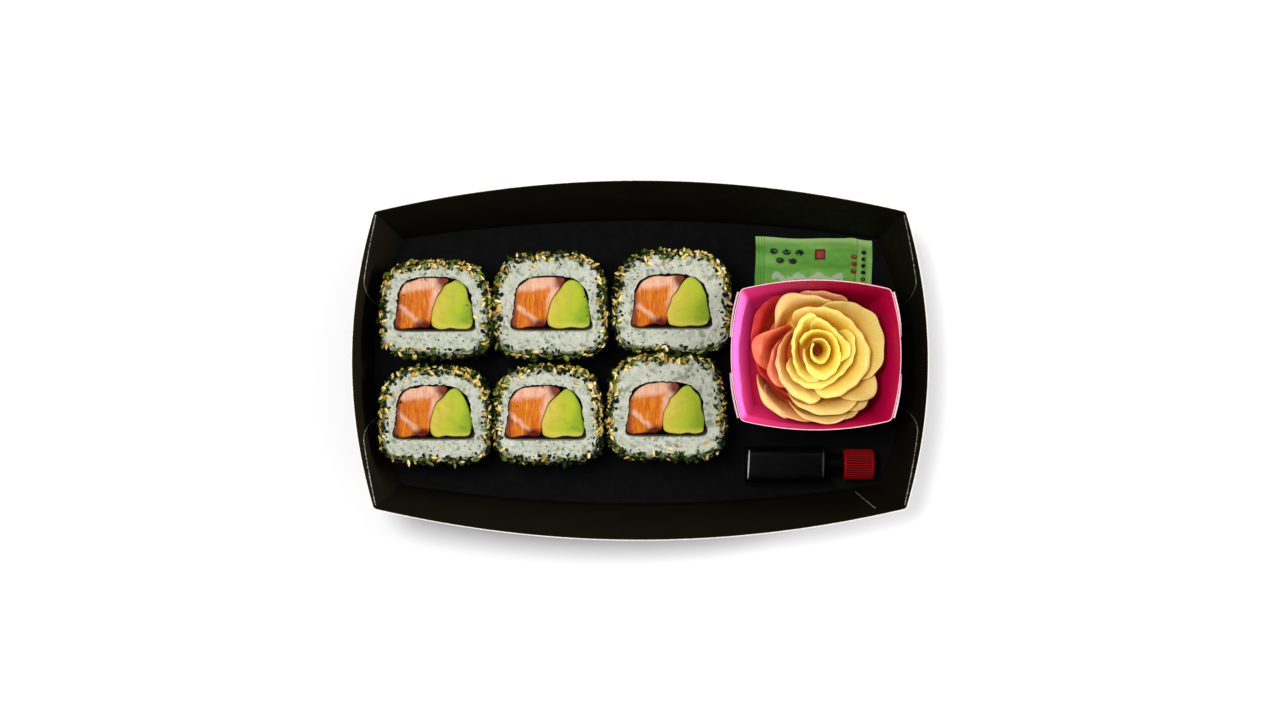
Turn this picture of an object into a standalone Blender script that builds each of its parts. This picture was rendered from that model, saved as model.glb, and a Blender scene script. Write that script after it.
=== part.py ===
"""Takeaway sushi tray: a folded board tray with six cut rolls, a pot of pickled ginger,
a flat sachet and a small bottle of soy sauce. Sizes below are in millimetres, and the
model is in metres with +Z up, standing on the origin with its long side along X."""

import math

import bmesh
import bpy
import numpy as np

MM = 0.001
GAP = 0.3

TRAY_HEIGHT = 40.0
TRAY_BOARD = 0.6
TRAY_RIM_CORNER = (96.0, 53.7)
TRAY_RIM_BOW = (8.0, 11.3)
TRAY_FLOOR_CORNER = (89.5, 46.5)
TRAY_FLOOR_BOW = (10.8, 7.0)
TAB_THICKNESS = 0.45
TAB_SLOPE_END = 0.22
TAB_SPAN = 0.29
TAB_SLOPE_DROP = 0.27
TAB_SLOPE_CURVE = 0.75
TAB_TURN_DROP = 0.66
TAB_START = 0.012
TAB_LOWEST = 0.978
WIDE_TAB = 1.12

ROLL_HEIGHT = 28.0
ROLL_BASE = TRAY_BOARD + GAP
# centre x, centre y, width, depth, filling shift x, filling shift y
ROLLS = (
    (-74.7, 18.8, 39.8, 33.2, -0.2, 0.0),
    (-32.9, 20.2, 41.0, 36.2, 0.6, -1.1),
    (11.8, 21.6, 42.0, 35.2, -0.4, -1.8),
    (-74.7, -20.0, 39.8, 33.2, -0.5, -0.6),
    (-33.6, -19.7, 38.8, 33.6, -0.9, -1.0),
    (9.6, -17.0, 42.0, 36.4, -0.1, -2.4),
)
FILLING_HALF_WIDTH = 13.5
FILLING_TOP = 10.2
FILLING_BOTTOM = 8.9
FILLING_CENTRE_Y = 1.5
FILLING_CORNER = 31.0
ROLL_COLUMNS = (21, 11)
# powers of the filling's outline: upper left, upper right and below
FILLING_POWERS = (3.0, 2.5, 9.0)
RICE_POWERS = (3.4, 4.6)
# height above the roll's base and how far the rice stands out there
RICE_SIDE = ((0.0, -1.3), (2.4, -0.3), (10.5, 0.0), (19.0, 0.0), (26.4, -0.1))
# share of the way from the rim of the cut face to the hole, and height against the face
RICE_FACE = ((0.0, -0.4), (0.33, 0.0), (0.67, 0.0), (1.0, -0.2))
RICE_RIM_INSET = 1.1
RICE_UNEVEN = 0.28
NORI_THICKNESS = 0.5
SALMON = (
    (-13.3, -6.3), (-8.2, -6.4), (-3.0, -6.3), (-1.8, -4.2), (-1.2, 0.4), (1.2, 5.8),
    (4.6, 10.5), (-1.1, 10.9), (-8.2, 10.1), (-12.2, 6.2), (-12.8, 1.0),
)
AVOCADO = (
    (8.2, 9.8), (5.8, 9.2), (2.2, 5.4), (-0.2, 0.6), (-0.8, -4.6), (0.6, -6.5),
    (6.4, -6.7), (12.2, -6.6), (13.4, -4.6), (12.8, 2.2), (10.8, 7.4),
)
SEED_LENGTH = 3.0
SEED_WIDTH = 1.9
SEEDS_PER_ROLL = 10

POT_CENTRE = (63.6, 1.9)
POT_HEIGHT = 36.0
POT_BOARD = 0.5
POT_RIM_CORNER = (27.2, 23.8)
POT_RIM_BOW = (3.6, 3.4)
POT_FLOOR_CORNER = (21.0, 18.2)
POT_FLOOR_BOW = (2.3, 2.1)

ROSE_CENTRE = (65.2, 4.3)
ROSE_BASE = 2 * GAP + TRAY_BOARD + POT_BOARD
SLICE_THICKNESS = 0.75
# the curve up a slice is a quarter of an ellipse, carried a little past its top
LIP_TURN = 100.0
END_ROUNDING = 0.42
SLICE_ROWS = (0.0, 0.42, 0.76, 1.0)
DEGREES_PER_COLUMN = 22
# For each slice of the rose, from the middle outwards: the radius of its foot at its first
# and last end, how far it leans from a trumpet (0) to a cone (1), and its lip as points of
# angle in degrees, radius and height.
PETALS = (
    (1.5, 2.7, 0.3, (
        (128, 3.0, 30.4), (165, 3.1, 31.3), (205, 3.5, 31.4), (240, 4.7, 31.3), (272, 5.4, 31.2),
        (300, 5.0, 31.2), (335, 4.0, 31.3), (390, 3.5, 31.4), (450, 3.6, 31.3), (492, 4.2, 30.2),
    )),
    (4.0, 5.0, 0.15, (
        (176, 5.6, 28.0), (200, 6.2, 30.2), (225, 7.6, 30.6), (250, 9.8, 30.8), (275, 11.4, 30.8),
        (300, 10.7, 30.8), (330, 8.6, 30.8), (360, 7.4, 30.9), (395, 6.9, 30.9), (450, 6.9, 30.9),
        (480, 7.2, 30.6), (505, 7.8, 30.0), (528, 8.0, 28.5),
    )),
    (7.3, 6.3, 0.15, (
        (88, 13.0, 28.0), (104, 13.5, 29.0), (116, 13.3, 29.3), (128, 12.4, 29.4),
        (145, 11.0, 29.4), (170, 9.9, 29.3), (190, 10.1, 29.3), (210, 10.8, 29.3),
        (230, 11.7, 29.3), (250, 12.5, 29.0), (264, 12.6, 28.6), (278, 12.2, 27.5),
    )),
    (5.8, 5.8, 0.15, (
        (-42, 9.2, 28.0), (-25, 10.3, 29.8), (-10, 11.2, 30.0), (7, 11.0, 30.1), (22, 9.8, 30.2),
        (45, 9.0, 30.2), (67, 9.4, 30.2), (85, 10.8, 30.2), (98, 11.6, 30.1), (112, 11.4, 29.4),
    )),
    (8.5, 8.5, 0.15, (
        (198, 13.0, 27.0), (214, 14.4, 28.2), (230, 15.0, 28.4), (245, 14.9, 28.4),
        (260, 14.6, 28.4), (278, 14.1, 28.4), (296, 13.3, 28.6), (322, 12.5, 28.8),
        (345, 12.9, 28.9), (365, 13.6, 28.9), (382, 14.0, 28.6), (400, 13.8, 27.6),
    )),
    (10.6, 11.8, 0.15, (
        (144, 12.6, 26.0), (158, 13.0, 27.0), (172, 13.9, 27.2), (187, 15.4, 27.3),
        (201, 17.1, 27.4), (215, 18.0, 27.4), (227, 18.6, 27.4), (240, 19.1, 27.4),
        (253, 20.0, 27.2), (265, 20.8, 26.8), (278, 20.8, 26.0),
    )),
    (10.1, 10.1, 0.15, (
        (260, 16.6, 27.0), (275, 18.2, 27.8), (289, 18.3, 28.0), (307, 18.7, 28.0),
        (325, 19.4, 27.9), (342, 19.5, 27.8), (357, 18.4, 27.6), (373, 17.0, 27.5),
        (388, 16.4, 27.5), (404, 16.0, 27.6), (421, 15.3, 27.7), (441, 15.1, 27.6),
        (458, 15.6, 27.2), (476, 17.0, 26.6), (494, 17.4, 25.6),
    )),
    (15.4, 14.4, 0.1, (
        (64, 18.8, 23.5), (76, 18.8, 25.2), (90, 19.6, 25.8), (103, 20.5, 26.0), (114, 22.0, 26.2),
        (124, 23.2, 26.2), (134, 21.8, 25.8), (147, 19.6, 24.6), (158, 18.4, 23.0),
    )),
    (16.6, 16.6, 0.3, (
        (50, 22.0, 22.5), (62, 22.0, 24.4), (73, 21.4, 25.2), (84, 21.1, 25.4), (95, 21.2, 25.3),
        (105, 21.8, 24.8), (118, 22.8, 23.2),
    )),
    (12.8, 12.8, 0.45, (
        (-40, 20.8, 25.0), (-28, 22.6, 26.4), (-14, 23.7, 26.8), (3, 23.7, 27.0), (18, 24.0, 27.0),
        (31, 24.2, 27.0), (45, 22.4, 27.2), (60, 20.0, 27.3), (74, 17.8, 27.0), (88, 17.2, 26.4),
    )),
    (15.6, 15.6, 0.2, (
        (-66, 23.0, 27.2), (-56, 24.2, 28.2), (-48, 25.6, 27.8), (-40, 26.6, 27.0),
        (-31, 26.3, 26.2), (-20, 25.6, 25.0),
    )),
    (17.0, 17.0, 0.25, (
        (-96, 22.4, 25.2), (-86, 23.4, 26.4), (-76, 24.2, 26.8), (-66, 25.2, 26.8),
        (-57, 26.8, 26.4), (-47, 27.6, 25.4), (-38, 27.4, 24.0),
    )),
    (20.8, 21.6, 0.6, (
        (242, 23.4, 28.4), (251, 25.2, 31.2), (260, 26.5, 32.4), (270, 27.2, 33.0),
        (280, 27.4, 33.2), (288, 27.7, 32.6), (297, 27.9, 31.2),
    )),
    (22.2, 22.2, 0.4, (
        (203, 25.8, 26.0), (215, 27.2, 27.8), (225, 28.4, 28.8), (234, 28.7, 29.2),
        (243, 28.4, 28.8), (248, 27.6, 27.8), (253, 26.8, 26.4),
    )),
    (12.0, 15.0, 0.1, (
        (138, 15.0, 25.8), (146, 15.6, 26.4), (155, 17.6, 26.6), (163, 20.8, 26.6),
        (171, 23.4, 26.4), (179, 24.2, 26.0), (189, 23.6, 25.4), (198, 23.0, 24.8),
        (208, 22.6, 23.8),
    )),
    (12.2, 13.2, 0.15, (
        (164, 15.2, 25.8), (177, 16.6, 26.6), (191, 18.6, 26.8), (202, 20.4, 26.8),
        (211, 20.9, 26.8), (221, 20.8, 26.4), (234, 20.8, 25.4),
    )),
    (18.0, 18.0, 0.2, (
        (116, 23.8, 22.0), (129, 25.0, 23.6), (143, 26.0, 24.0), (157, 26.0, 24.0),
        (170, 25.6, 23.6), (184, 25.2, 22.0),
    )),
    (17.0, 16.4, 0.2, (
        (180, 23.8, 21.6), (194, 23.8, 22.8), (206, 22.8, 22.8), (218, 21.6, 21.6),
        (232, 20.8, 19.8), (244, 20.4, 18.4), (256, 20.2, 16.8),
    )),
)

SACHET_CENTRE = (65.0, 35.0)
SACHET_SIZE = (43.7, 22.4)
SACHET_SKEW = 0.6
SACHET_THICKNESS = 2.6
SACHET_FLAT = 0.55
SACHET_SEAL = 2.6

BOTTLE_Y = -38.2
BOTTLE_X = (38.8, 69.1)
BOTTLE_WIDTH = 13.7
BOTTLE_DEPTH = 12.0
BOTTLE_WALL = 0.6
NECK_RADIUS = 4.0
NECK_END = 82.0
CAP_X = (75.7, 86.9)
CAP_RADIUS = 5.6
CAP_RIB = 0.22
CAP_RIBS = 22


def clear_scene():
    """Remove every object that the scene starts with."""
    for obj in list(bpy.data.objects):
        bpy.data.objects.remove(obj, do_unlink=True)


def new_collection(name):
    """A collection linked to the scene."""
    collection = bpy.data.collections.new(name)
    bpy.context.scene.collection.children.link(collection)
    return collection


def new_material(name, colour, roughness, metallic=0.0, alpha=1.0):
    """A Principled material with the colour given in linear values."""
    material = bpy.data.materials.new(name)
    material.use_nodes = True
    shader = material.node_tree.nodes["Principled BSDF"]
    shader.inputs["Base Color"].default_value = (*colour, 1.0)
    shader.inputs["Roughness"].default_value = roughness
    shader.inputs["Metallic"].default_value = metallic
    shader.inputs["Alpha"].default_value = alpha
    material.diffuse_color = (*colour, alpha)
    return material


def mesh_object(name, points, faces, collection, material):
    """An object made of points in millimetres and faces, with its normals outwards."""
    mesh = bpy.data.meshes.new(name)
    mesh.from_pydata((np.asarray(points) * MM).tolist(), [], faces)
    shape = bmesh.new()
    shape.from_mesh(mesh)
    bmesh.ops.recalc_face_normals(shape, faces=shape.faces)
    shape.to_mesh(mesh)
    shape.free()
    mesh.materials.append(material)
    obj = bpy.data.objects.new(name, mesh)
    collection.objects.link(obj)
    return obj


def loft(loops):
    """Points and faces of the skin through closed loops of equal length, capped at both ends."""
    count = len(loops[0])
    points = np.concatenate(loops)
    faces = []
    for row in range(len(loops) - 1):
        for i in range(count):
            j = (i + 1) % count
            a = row * count
            b = a + count
            faces.append((a + i, a + j, b + j, b + i))
    faces.append(tuple(reversed(range(count))))
    last = (len(loops) - 1) * count
    faces.append(tuple(range(last, last + count)))
    return points, faces


def ring_loft(loops):
    """Points and faces of the closed skin whose last loop joins its first."""
    count = len(loops[0])
    points = np.concatenate(loops)
    faces = []
    for row in range(len(loops)):
        for i in range(count):
            j = (i + 1) % count
            a = row * count
            b = (row + 1) % len(loops) * count
            faces.append((a + i, a + j, b + j, b + i))
    return points, faces


def grid_triangles(rows, columns):
    """The triangles of a grid of points, two for each cell."""
    faces = []
    for r in range(rows - 1):
        for c in range(columns - 1):
            a = r * columns + c
            b = a + columns
            faces += [(a, a + 1, b + 1), (a, b + 1, b)]
    return faces


def sheet_solid(front, back):
    """Points and faces of a thin closed sheet between two equal grids of points."""
    rows, columns = front.shape[:2]
    size = rows * columns
    points = np.concatenate([front.reshape(-1, 3), back.reshape(-1, 3)])
    faces = grid_triangles(rows, columns)
    faces += [(size + three, size + two, size + one) for one, two, three in faces]
    edge = list(range(columns))
    edge += [r * columns + columns - 1 for r in range(1, rows)]
    edge += [(rows - 1) * columns + c for c in range(columns - 2, -1, -1)]
    edge += [r * columns for r in range(rows - 2, 0, -1)]
    for i, a in enumerate(edge):
        b = edge[(i + 1) % len(edge)]
        faces.append((a, size + a, size + b, b))
    return points, faces


def at_height(outline, z):
    """A loop of 3-D points from a plane outline and its height."""
    return np.column_stack([outline, np.broadcast_to(z, len(outline))])


def bowed_outline(corner, bow, long_steps, short_steps, rounding):
    """A rectangle whose four sides bow outwards as parabolas and whose corners are rounded."""
    cx, cy = corner
    bx, by = bow
    corners = [(cx, -cy), (cx, cy), (-cx, cy), (-cx, -cy)]
    points = []
    for side in range(4):
        start = np.array(corners[side])
        end = np.array(corners[(side + 1) % 4])
        upright = side % 2 == 0
        steps = short_steps if upright else long_steps
        length = np.linalg.norm(end - start)
        trim = rounding / length
        t = np.linspace(trim, 1 - trim, steps + 1)[:, None]
        outwards = np.array([[1, 0], [0, 1], [-1, 0], [0, -1]][side], float)
        rise = (bx if upright else by) * 4 * t * (1 - t)
        points.append(start + (end - start) * t + outwards * rise)
    return np.concatenate(points)


def inset(outline, distance):
    """The outline moved inwards by the distance along its corner bisectors."""
    before = outline - np.roll(outline, 1, axis=0)
    after = np.roll(outline, -1, axis=0) - outline
    before /= np.linalg.norm(before, axis=1)[:, None]
    after /= np.linalg.norm(after, axis=1)[:, None]
    normal = np.column_stack([-(before + after)[:, 1], (before + after)[:, 0]])
    normal /= np.linalg.norm(normal, axis=1)[:, None]
    cosine = np.abs(normal[:, 0] * -before[:, 1] + normal[:, 1] * before[:, 0])
    return outline + normal * (distance / np.maximum(cosine, 0.6))[:, None]


def open_box(rim, floor, height, board, base):
    """The loops of a board tray: outside from floor to rim, then inside back to the floor."""
    return [
        at_height(floor, base),
        at_height(rim, base + height),
        at_height(inset(rim, board), base + height),
        at_height(inset(floor, board), base + board),
    ]


def tray_wall(side, t, drop, depth):
    """A point of the short wall, at t along it and drop down it, moved inwards by the depth."""
    rim_x = TRAY_RIM_CORNER[0] + TRAY_RIM_BOW[0] * 4 * t * (1 - t)
    floor_x = TRAY_FLOOR_CORNER[0] + TRAY_FLOOR_BOW[0] * 4 * t * (1 - t)
    x = rim_x + (floor_x - rim_x) * drop - depth
    half = TRAY_RIM_CORNER[1] + (TRAY_FLOOR_CORNER[1] - TRAY_RIM_CORNER[1]) * drop
    y = half * (1 - 2 * t)
    return side * x, y, TRAY_HEIGHT * (1 - drop)


def tab_top(along):
    """How far down the wall a glued tab's cut edge lies, from its corner to its round end."""
    slope = TAB_SLOPE_DROP * np.clip(along / TAB_SLOPE_END, 0, 1) ** TAB_SLOPE_CURVE
    turn = np.clip((along - TAB_SLOPE_END) / (TAB_SPAN - TAB_SLOPE_END), 0, 1)
    return slope + TAB_TURN_DROP * (1 - np.sqrt(1 - turn**2))


def glued_tab(name, side, end, stretch, collection, material):
    """A tab of the long wall, folded round the corner and glued inside the short wall."""
    turn = np.linspace(TAB_SLOPE_END, TAB_SPAN, 6)[1:]
    along = np.concatenate([np.linspace(TAB_START, TAB_SLOPE_END, 5), turn])
    front = []
    back = []
    for step in along:
        t = step * stretch
        t = t if end > 0 else 1 - t
        drops = np.linspace(tab_top(step), TAB_LOWEST, 3)
        front.append([tray_wall(side, t, d, TRAY_BOARD + TAB_THICKNESS) for d in drops])
        back.append([tray_wall(side, t, d, TRAY_BOARD - 0.2) for d in drops])
    points, faces = sheet_solid(np.array(front), np.array(back))
    return mesh_object(name, points, faces, collection, material)


def join_collection(obj, collection):
    """Fuse everything in the collection to the object, then remove the collection's objects."""
    modifier = obj.modifiers.new("Fuse", "BOOLEAN")
    modifier.operation = "UNION"
    modifier.operand_type = "COLLECTION"
    modifier.collection = collection
    modifier.solver = "EXACT"
    bpy.context.view_layer.update()
    graph = bpy.context.evaluated_depsgraph_get()
    fused = bpy.data.meshes.new_from_object(obj.evaluated_get(graph))
    obj.modifiers.remove(modifier)
    obj.data = fused
    for other in list(collection.objects):
        bpy.data.objects.remove(other, do_unlink=True)
    bpy.data.collections.remove(collection)


def tray(collection, material):
    """The folded board tray with bowed walls and its four glued tabs."""
    rim = bowed_outline(TRAY_RIM_CORNER, TRAY_RIM_BOW, 16, 10, 1.2)
    floor = bowed_outline(TRAY_FLOOR_CORNER, TRAY_FLOOR_BOW, 16, 10, 0.8)
    points, faces = loft(open_box(rim, floor, TRAY_HEIGHT, TRAY_BOARD, 0.0))
    shell = mesh_object("tray", points, faces, collection, material)
    tabs = new_collection("tray tabs")
    for side in (-1, 1):
        for end in (-1, 1):
            stretch = WIDE_TAB if (side, end) == (1, -1) else 1.0
            glued_tab(f"tab {side} {end}", side, end, stretch, tabs, material)
    join_collection(shell, tabs)


def roll_angles():
    """Angles round a roll that pass through both lower corners of its filling."""
    above, below = ROLL_COLUMNS
    upper = np.linspace(-FILLING_CORNER, 180 + FILLING_CORNER, above + 1)[:-1]
    lower = np.linspace(180 + FILLING_CORNER, 360 - FILLING_CORNER, below + 1)[:-1]
    return np.radians(np.concatenate([upper, lower]))


def superellipse(angles, half_width, up, down, power):
    """The distance from the centre to a superellipse with its own upper and lower half."""
    cosine = np.abs(np.cos(angles)) / half_width
    sine = np.abs(np.sin(angles)) / np.where(np.sin(angles) > 0, up, down)
    return (cosine**power + sine**power) ** (-1 / power)


def rice_outline(angles, width, depth):
    """The outside of a roll: flat below, rounder above and a little narrower there."""
    power = np.where(np.sin(angles) > 0, *RICE_POWERS)
    radius = superellipse(angles, width / 2, depth / 2, depth / 2, power)
    x = radius * np.cos(angles)
    y = radius * np.sin(angles)
    return np.column_stack([x * (1 - 0.04 * (1 + 2 * y / depth)), y])


def filling_outline(angles, grow):
    """The outside of the filling: flat below with sharp flared corners, domed above."""
    upper_left, upper_right, below = FILLING_POWERS
    upper = np.where(np.cos(angles) > 0, upper_right, upper_left)
    power = np.where(np.sin(angles) > 0, upper, below)
    half_width, up, down = FILLING_HALF_WIDTH + grow, FILLING_TOP + grow, FILLING_BOTTOM + grow
    radius = superellipse(angles, half_width, up, down, power)
    x = radius * np.cos(angles)
    y = radius * np.sin(angles)
    return np.column_stack([x * (1 + 0.09 * np.clip(-y / FILLING_BOTTOM, 0, 1)), y + FILLING_CENTRE_Y])


def smooth_outline(corners, steps):
    """A closed Catmull-Rom curve through a few corners."""
    corners = np.array(corners, float)
    t = (np.arange(steps) / steps)[None, :, None]
    before, here, after, beyond = (np.roll(corners, -k, axis=0)[:, None] for k in (-1, 0, 1, 2))
    slope = after - before
    bend = 2 * before - 5 * here + 4 * after - beyond
    twist = 3 * (here - after) + beyond - before
    curve = here + 0.5 * t * (slope + t * (bend + t * twist))
    return curve.reshape(-1, 2)


def seed_bits(name, outline, draw, rice, collection, material):
    """Sesame seeds half sunk in the rice, round the edge of a roll's cut face and down its side."""
    for k in range(SEEDS_PER_ROLL):
        place = int((k + draw.uniform(0.2, 0.8)) / SEEDS_PER_ROLL * len(outline)) % len(outline)
        x, y = outline[place]
        outwards = math.atan2(y, x)
        height = ROLL_BASE + ROLL_HEIGHT - draw.uniform(1.2, 12.0)
        bpy.ops.mesh.primitive_ico_sphere_add(subdivisions=1, radius=MM)
        seed = bpy.context.object
        seed.name = f"{name} seed {k}"
        seed.scale = (0.8, SEED_WIDTH / 2, SEED_LENGTH / 2)
        seed.rotation_euler = (draw.uniform(-1.2, 1.2), draw.uniform(-0.3, 0.3), outwards)
        seed.location = ((rice[0] + x * 0.995) * MM, (rice[1] + y * 0.995) * MM, height * MM)
        seed.data.materials.append(material)
        for holder in list(seed.users_collection):
            holder.objects.unlink(seed)
        collection.objects.link(seed)


def roll(number, sizes, collection, materials):
    """One cut roll: rice with seeds round a ring of seaweed, salmon and avocado."""
    cx, cy, width, depth, shift_x, shift_y = sizes
    draw = np.random.default_rng(40 + number)
    angles = roll_angles()
    count = len(angles)
    outside = rice_outline(angles, width, depth)
    hole = filling_outline(angles, NORI_THICKNESS + GAP) + (shift_x, shift_y)
    top = ROLL_BASE + ROLL_HEIGHT
    half = (width + depth) / 4
    loops = []
    for z, grow in RICE_SIDE:
        swell = 1 + (grow + draw.uniform(-RICE_UNEVEN, RICE_UNEVEN, (count, 1))) / half
        loops.append(at_height(outside * swell, ROLL_BASE + z))
    rim = outside * (1 - RICE_RIM_INSET / half)
    for t, z in RICE_FACE:
        bumps = top + z + draw.uniform(-RICE_UNEVEN, RICE_UNEVEN, count)
        loops.append(at_height(rim + (hole - rim) * t, bumps))
    loops.append(at_height(hole, ROLL_BASE))
    middle = np.array([cx, cy, 0])
    points, faces = ring_loft(loops)
    rice = mesh_object(f"roll_{number}_rice", points + middle, faces, collection, materials["rice"])
    seeds = new_collection(f"roll {number} seeds")
    seed_bits(f"roll {number}", outside, draw, (cx, cy), seeds, materials["rice"])
    join_collection(rice, seeds)

    middle += (shift_x, shift_y, 0)
    band = filling_outline(angles, NORI_THICKNESS)
    inner = filling_outline(angles, 0)
    points, faces = ring_loft(
        [
            at_height(band, ROLL_BASE),
            at_height(band, top - 0.5),
            at_height(inner, top - 0.7),
            at_height(inner, ROLL_BASE),
        ]
    )
    mesh_object(f"roll_{number}_nori", points + middle, faces, collection, materials["nori"])
    for kind, corners, drop in (("salmon", SALMON, 0.9), ("avocado", AVOCADO, 0.4)):
        outline = smooth_outline(corners, 2)
        low = at_height(outline, ROLL_BASE)
        shoulder = at_height(outline, top - drop - 0.5)
        face = at_height(inset(outline, 0.4), top - drop)
        points, faces = loft([low, shoulder, face])
        mesh_object(f"roll_{number}_{kind}", points + middle, faces, collection, materials[kind])


def ginger_pot(collection, material):
    """The small board pot with bowed, flared walls."""
    rim = bowed_outline(POT_RIM_CORNER, POT_RIM_BOW, 8, 7, 1.4)
    floor = bowed_outline(POT_FLOOR_CORNER, POT_FLOOR_BOW, 8, 7, 1.0)
    points, faces = loft(open_box(rim, floor, POT_HEIGHT, POT_BOARD, TRAY_BOARD + GAP))
    mesh_object("ginger_pot", points + (*POT_CENTRE, 0), faces, collection, material)


def smooth_path(corners, s):
    """Points at s, from 0 to 1, along an open Catmull-Rom curve through a few corners."""
    corners = np.array(corners, float)
    ends = 2 * corners[[0, -1]] - corners[[1, -2]]
    padded = np.vstack([ends[:1], corners, ends[1:]])
    place = s * (len(corners) - 1)
    k = np.clip(place.astype(int), 0, len(corners) - 2)
    t = (place - k)[:, None]
    before, here, after, beyond = (padded[k + j] for j in range(4))
    slope = after - before
    bend = 2 * before - 5 * here + 4 * after - beyond
    twist = 3 * (here - after) + beyond - before
    return here + 0.5 * t * (slope + t * (bend + t * twist))


def ginger_slice(number, petal, collection, material):
    """A thin slice set on edge in the rose: it rises from its foot and falls open to its lip."""
    first, last, lean, lip = petal
    sweep = lip[-1][0] - lip[0][0]
    columns = max(5, round(sweep / DEGREES_PER_COLUMN)) + 1
    s = np.linspace(0, 1, columns)
    angle, reach, height = (part[:, None] for part in smooth_path(lip, s).T)
    s = s[:, None]
    v = np.array(SLICE_ROWS) * (1 - END_ROUNDING * np.abs(2 * s - 1) ** max(3, sweep / 15))
    turn = np.radians(LIP_TURN)
    outward = (1 - np.cos(turn * v)) / (1 - math.cos(turn))
    upward = np.sin(turn * v)
    foot = first + (last - first) * s
    radius = foot + (reach - foot) * (outward + lean * (v - outward))
    z = ROSE_BASE + (height - ROSE_BASE) * (upward + lean * (v - upward))
    x = ROSE_CENTRE[0] + radius * np.cos(np.radians(angle))
    y = ROSE_CENTRE[1] + radius * np.sin(np.radians(angle))
    points = np.stack([x, y, z], axis=-1).reshape(-1, 3)
    faces = grid_triangles(columns, len(SLICE_ROWS))
    obj = mesh_object(f"ginger_slice_{number:02d}", points, faces, collection, material)
    solidify = obj.modifiers.new("Thickness", "SOLIDIFY")
    solidify.thickness = SLICE_THICKNESS * MM
    solidify.offset = 0.0


def sachet(collection, material):
    """A flat foil sachet: a soft pillow between pressed seals."""
    width, depth = SACHET_SIZE
    x = np.linspace(-1, 1, 11)[:, None]
    y = np.linspace(-1, 1, 7)[None, :]
    inside_x = np.clip((1 - np.abs(x)) * width / 2 / SACHET_SEAL - 0.6, 0, 1)
    inside_y = np.clip((1 - np.abs(y)) * depth / 2 / SACHET_SEAL - 0.3, 0, 1)
    puff = inside_x * inside_y * (1 - 0.45 * x**2) * (1 - 0.35 * y**2)
    low = TRAY_BOARD + GAP
    plane_x = SACHET_CENTRE[0] + x * width / 2 + 0 * y
    plane_y = SACHET_CENTRE[1] + y * depth / 2 + 0.25 * np.sin(5 * x) - SACHET_SKEW * x
    thickness = SACHET_FLAT + (SACHET_THICKNESS - SACHET_FLAT) * puff
    top = np.stack([plane_x, plane_y, low + thickness], axis=-1)
    bottom = np.stack([plane_x, plane_y, low + 0 * puff], axis=-1)
    points, faces = sheet_solid(top, bottom)
    mesh_object("sachet", points, faces, collection, material)


def body_section(x, shrink):
    """A rounded rectangle across the bottle at x."""
    angles = np.radians(np.arange(0, 360, 22.5) + 11.25)
    half_width = BOTTLE_WIDTH / 2 - shrink
    half_depth = BOTTLE_DEPTH / 2 - shrink
    radius = superellipse(angles, half_width, half_depth, half_depth, 5.0)
    y = BOTTLE_Y + radius * np.cos(angles)
    z = TRAY_BOARD + GAP + BOTTLE_DEPTH / 2 + radius * np.sin(angles)
    return np.column_stack([np.full(len(angles), x), y, z])


def round_section(x, radius, count=16, ribs=0.0):
    """A circle across the bottle at x, with shallow ribs where they are wanted."""
    angles = np.radians((np.arange(count) + 0.5) * 360 / count)
    reach = radius - ribs * (np.arange(count) % 2)
    y = BOTTLE_Y + reach * np.cos(angles)
    z = TRAY_BOARD + GAP + BOTTLE_DEPTH / 2 + reach * np.sin(angles)
    return np.column_stack([np.full(count, x), y, z])


def soy_bottle(collection, materials):
    """The clear bottle with its open neck, the sauce in it and its ribbed screw cap."""
    left, right = BOTTLE_X
    neck = NECK_RADIUS
    bore = neck - BOTTLE_WALL
    wall = BOTTLE_WALL
    shell = [
        body_section(left, 1.0),
        body_section(left + 1.0, 0.0),
        body_section(right - 1.0, 0.0),
        body_section(right, 1.0),
        round_section(right + 1.2, neck),
        round_section(NECK_END, neck),
        round_section(NECK_END, bore),
        round_section(right + 0.6, bore),
        body_section(right - wall, 1.0 + wall),
        body_section(right - 1.0 - wall, wall),
        body_section(left + 1.0 + wall, wall),
        body_section(left + wall, 1.0 + wall),
    ]
    points, faces = loft(shell)
    mesh_object("soy_bottle", points, faces, collection, materials["clear plastic"])
    inside = wall + GAP
    sauce = [
        body_section(left + inside, 1.0 + inside),
        body_section(left + 1.0 + inside, inside),
        body_section(right - 1.0 - inside, inside),
        body_section(right - inside, 1.0 + inside),
        round_section(right + 0.4, bore - GAP),
        round_section(NECK_END - 5.0, bore - GAP),
    ]
    points, faces = loft(sauce)
    mesh_object("soy_sauce", points, faces, collection, materials["soy sauce"])
    start, end = CAP_X
    count = 2 * CAP_RIBS
    cap = [
        round_section(start + 0.6, CAP_RADIUS, count, CAP_RIB),
        round_section(end - 0.7, CAP_RADIUS, count, CAP_RIB),
        round_section(end, CAP_RADIUS - 0.7, count),
    ]
    bore = [
        round_section(end - 1.4, neck + 0.5, count),
        round_section(start, neck + 0.5, count),
        round_section(start, CAP_RADIUS - 0.3, count),
    ]
    points, faces = loft([bore[0], bore[1], bore[2], *cap])
    mesh_object("soy_cap", points, faces, collection, materials["cap"])


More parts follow.
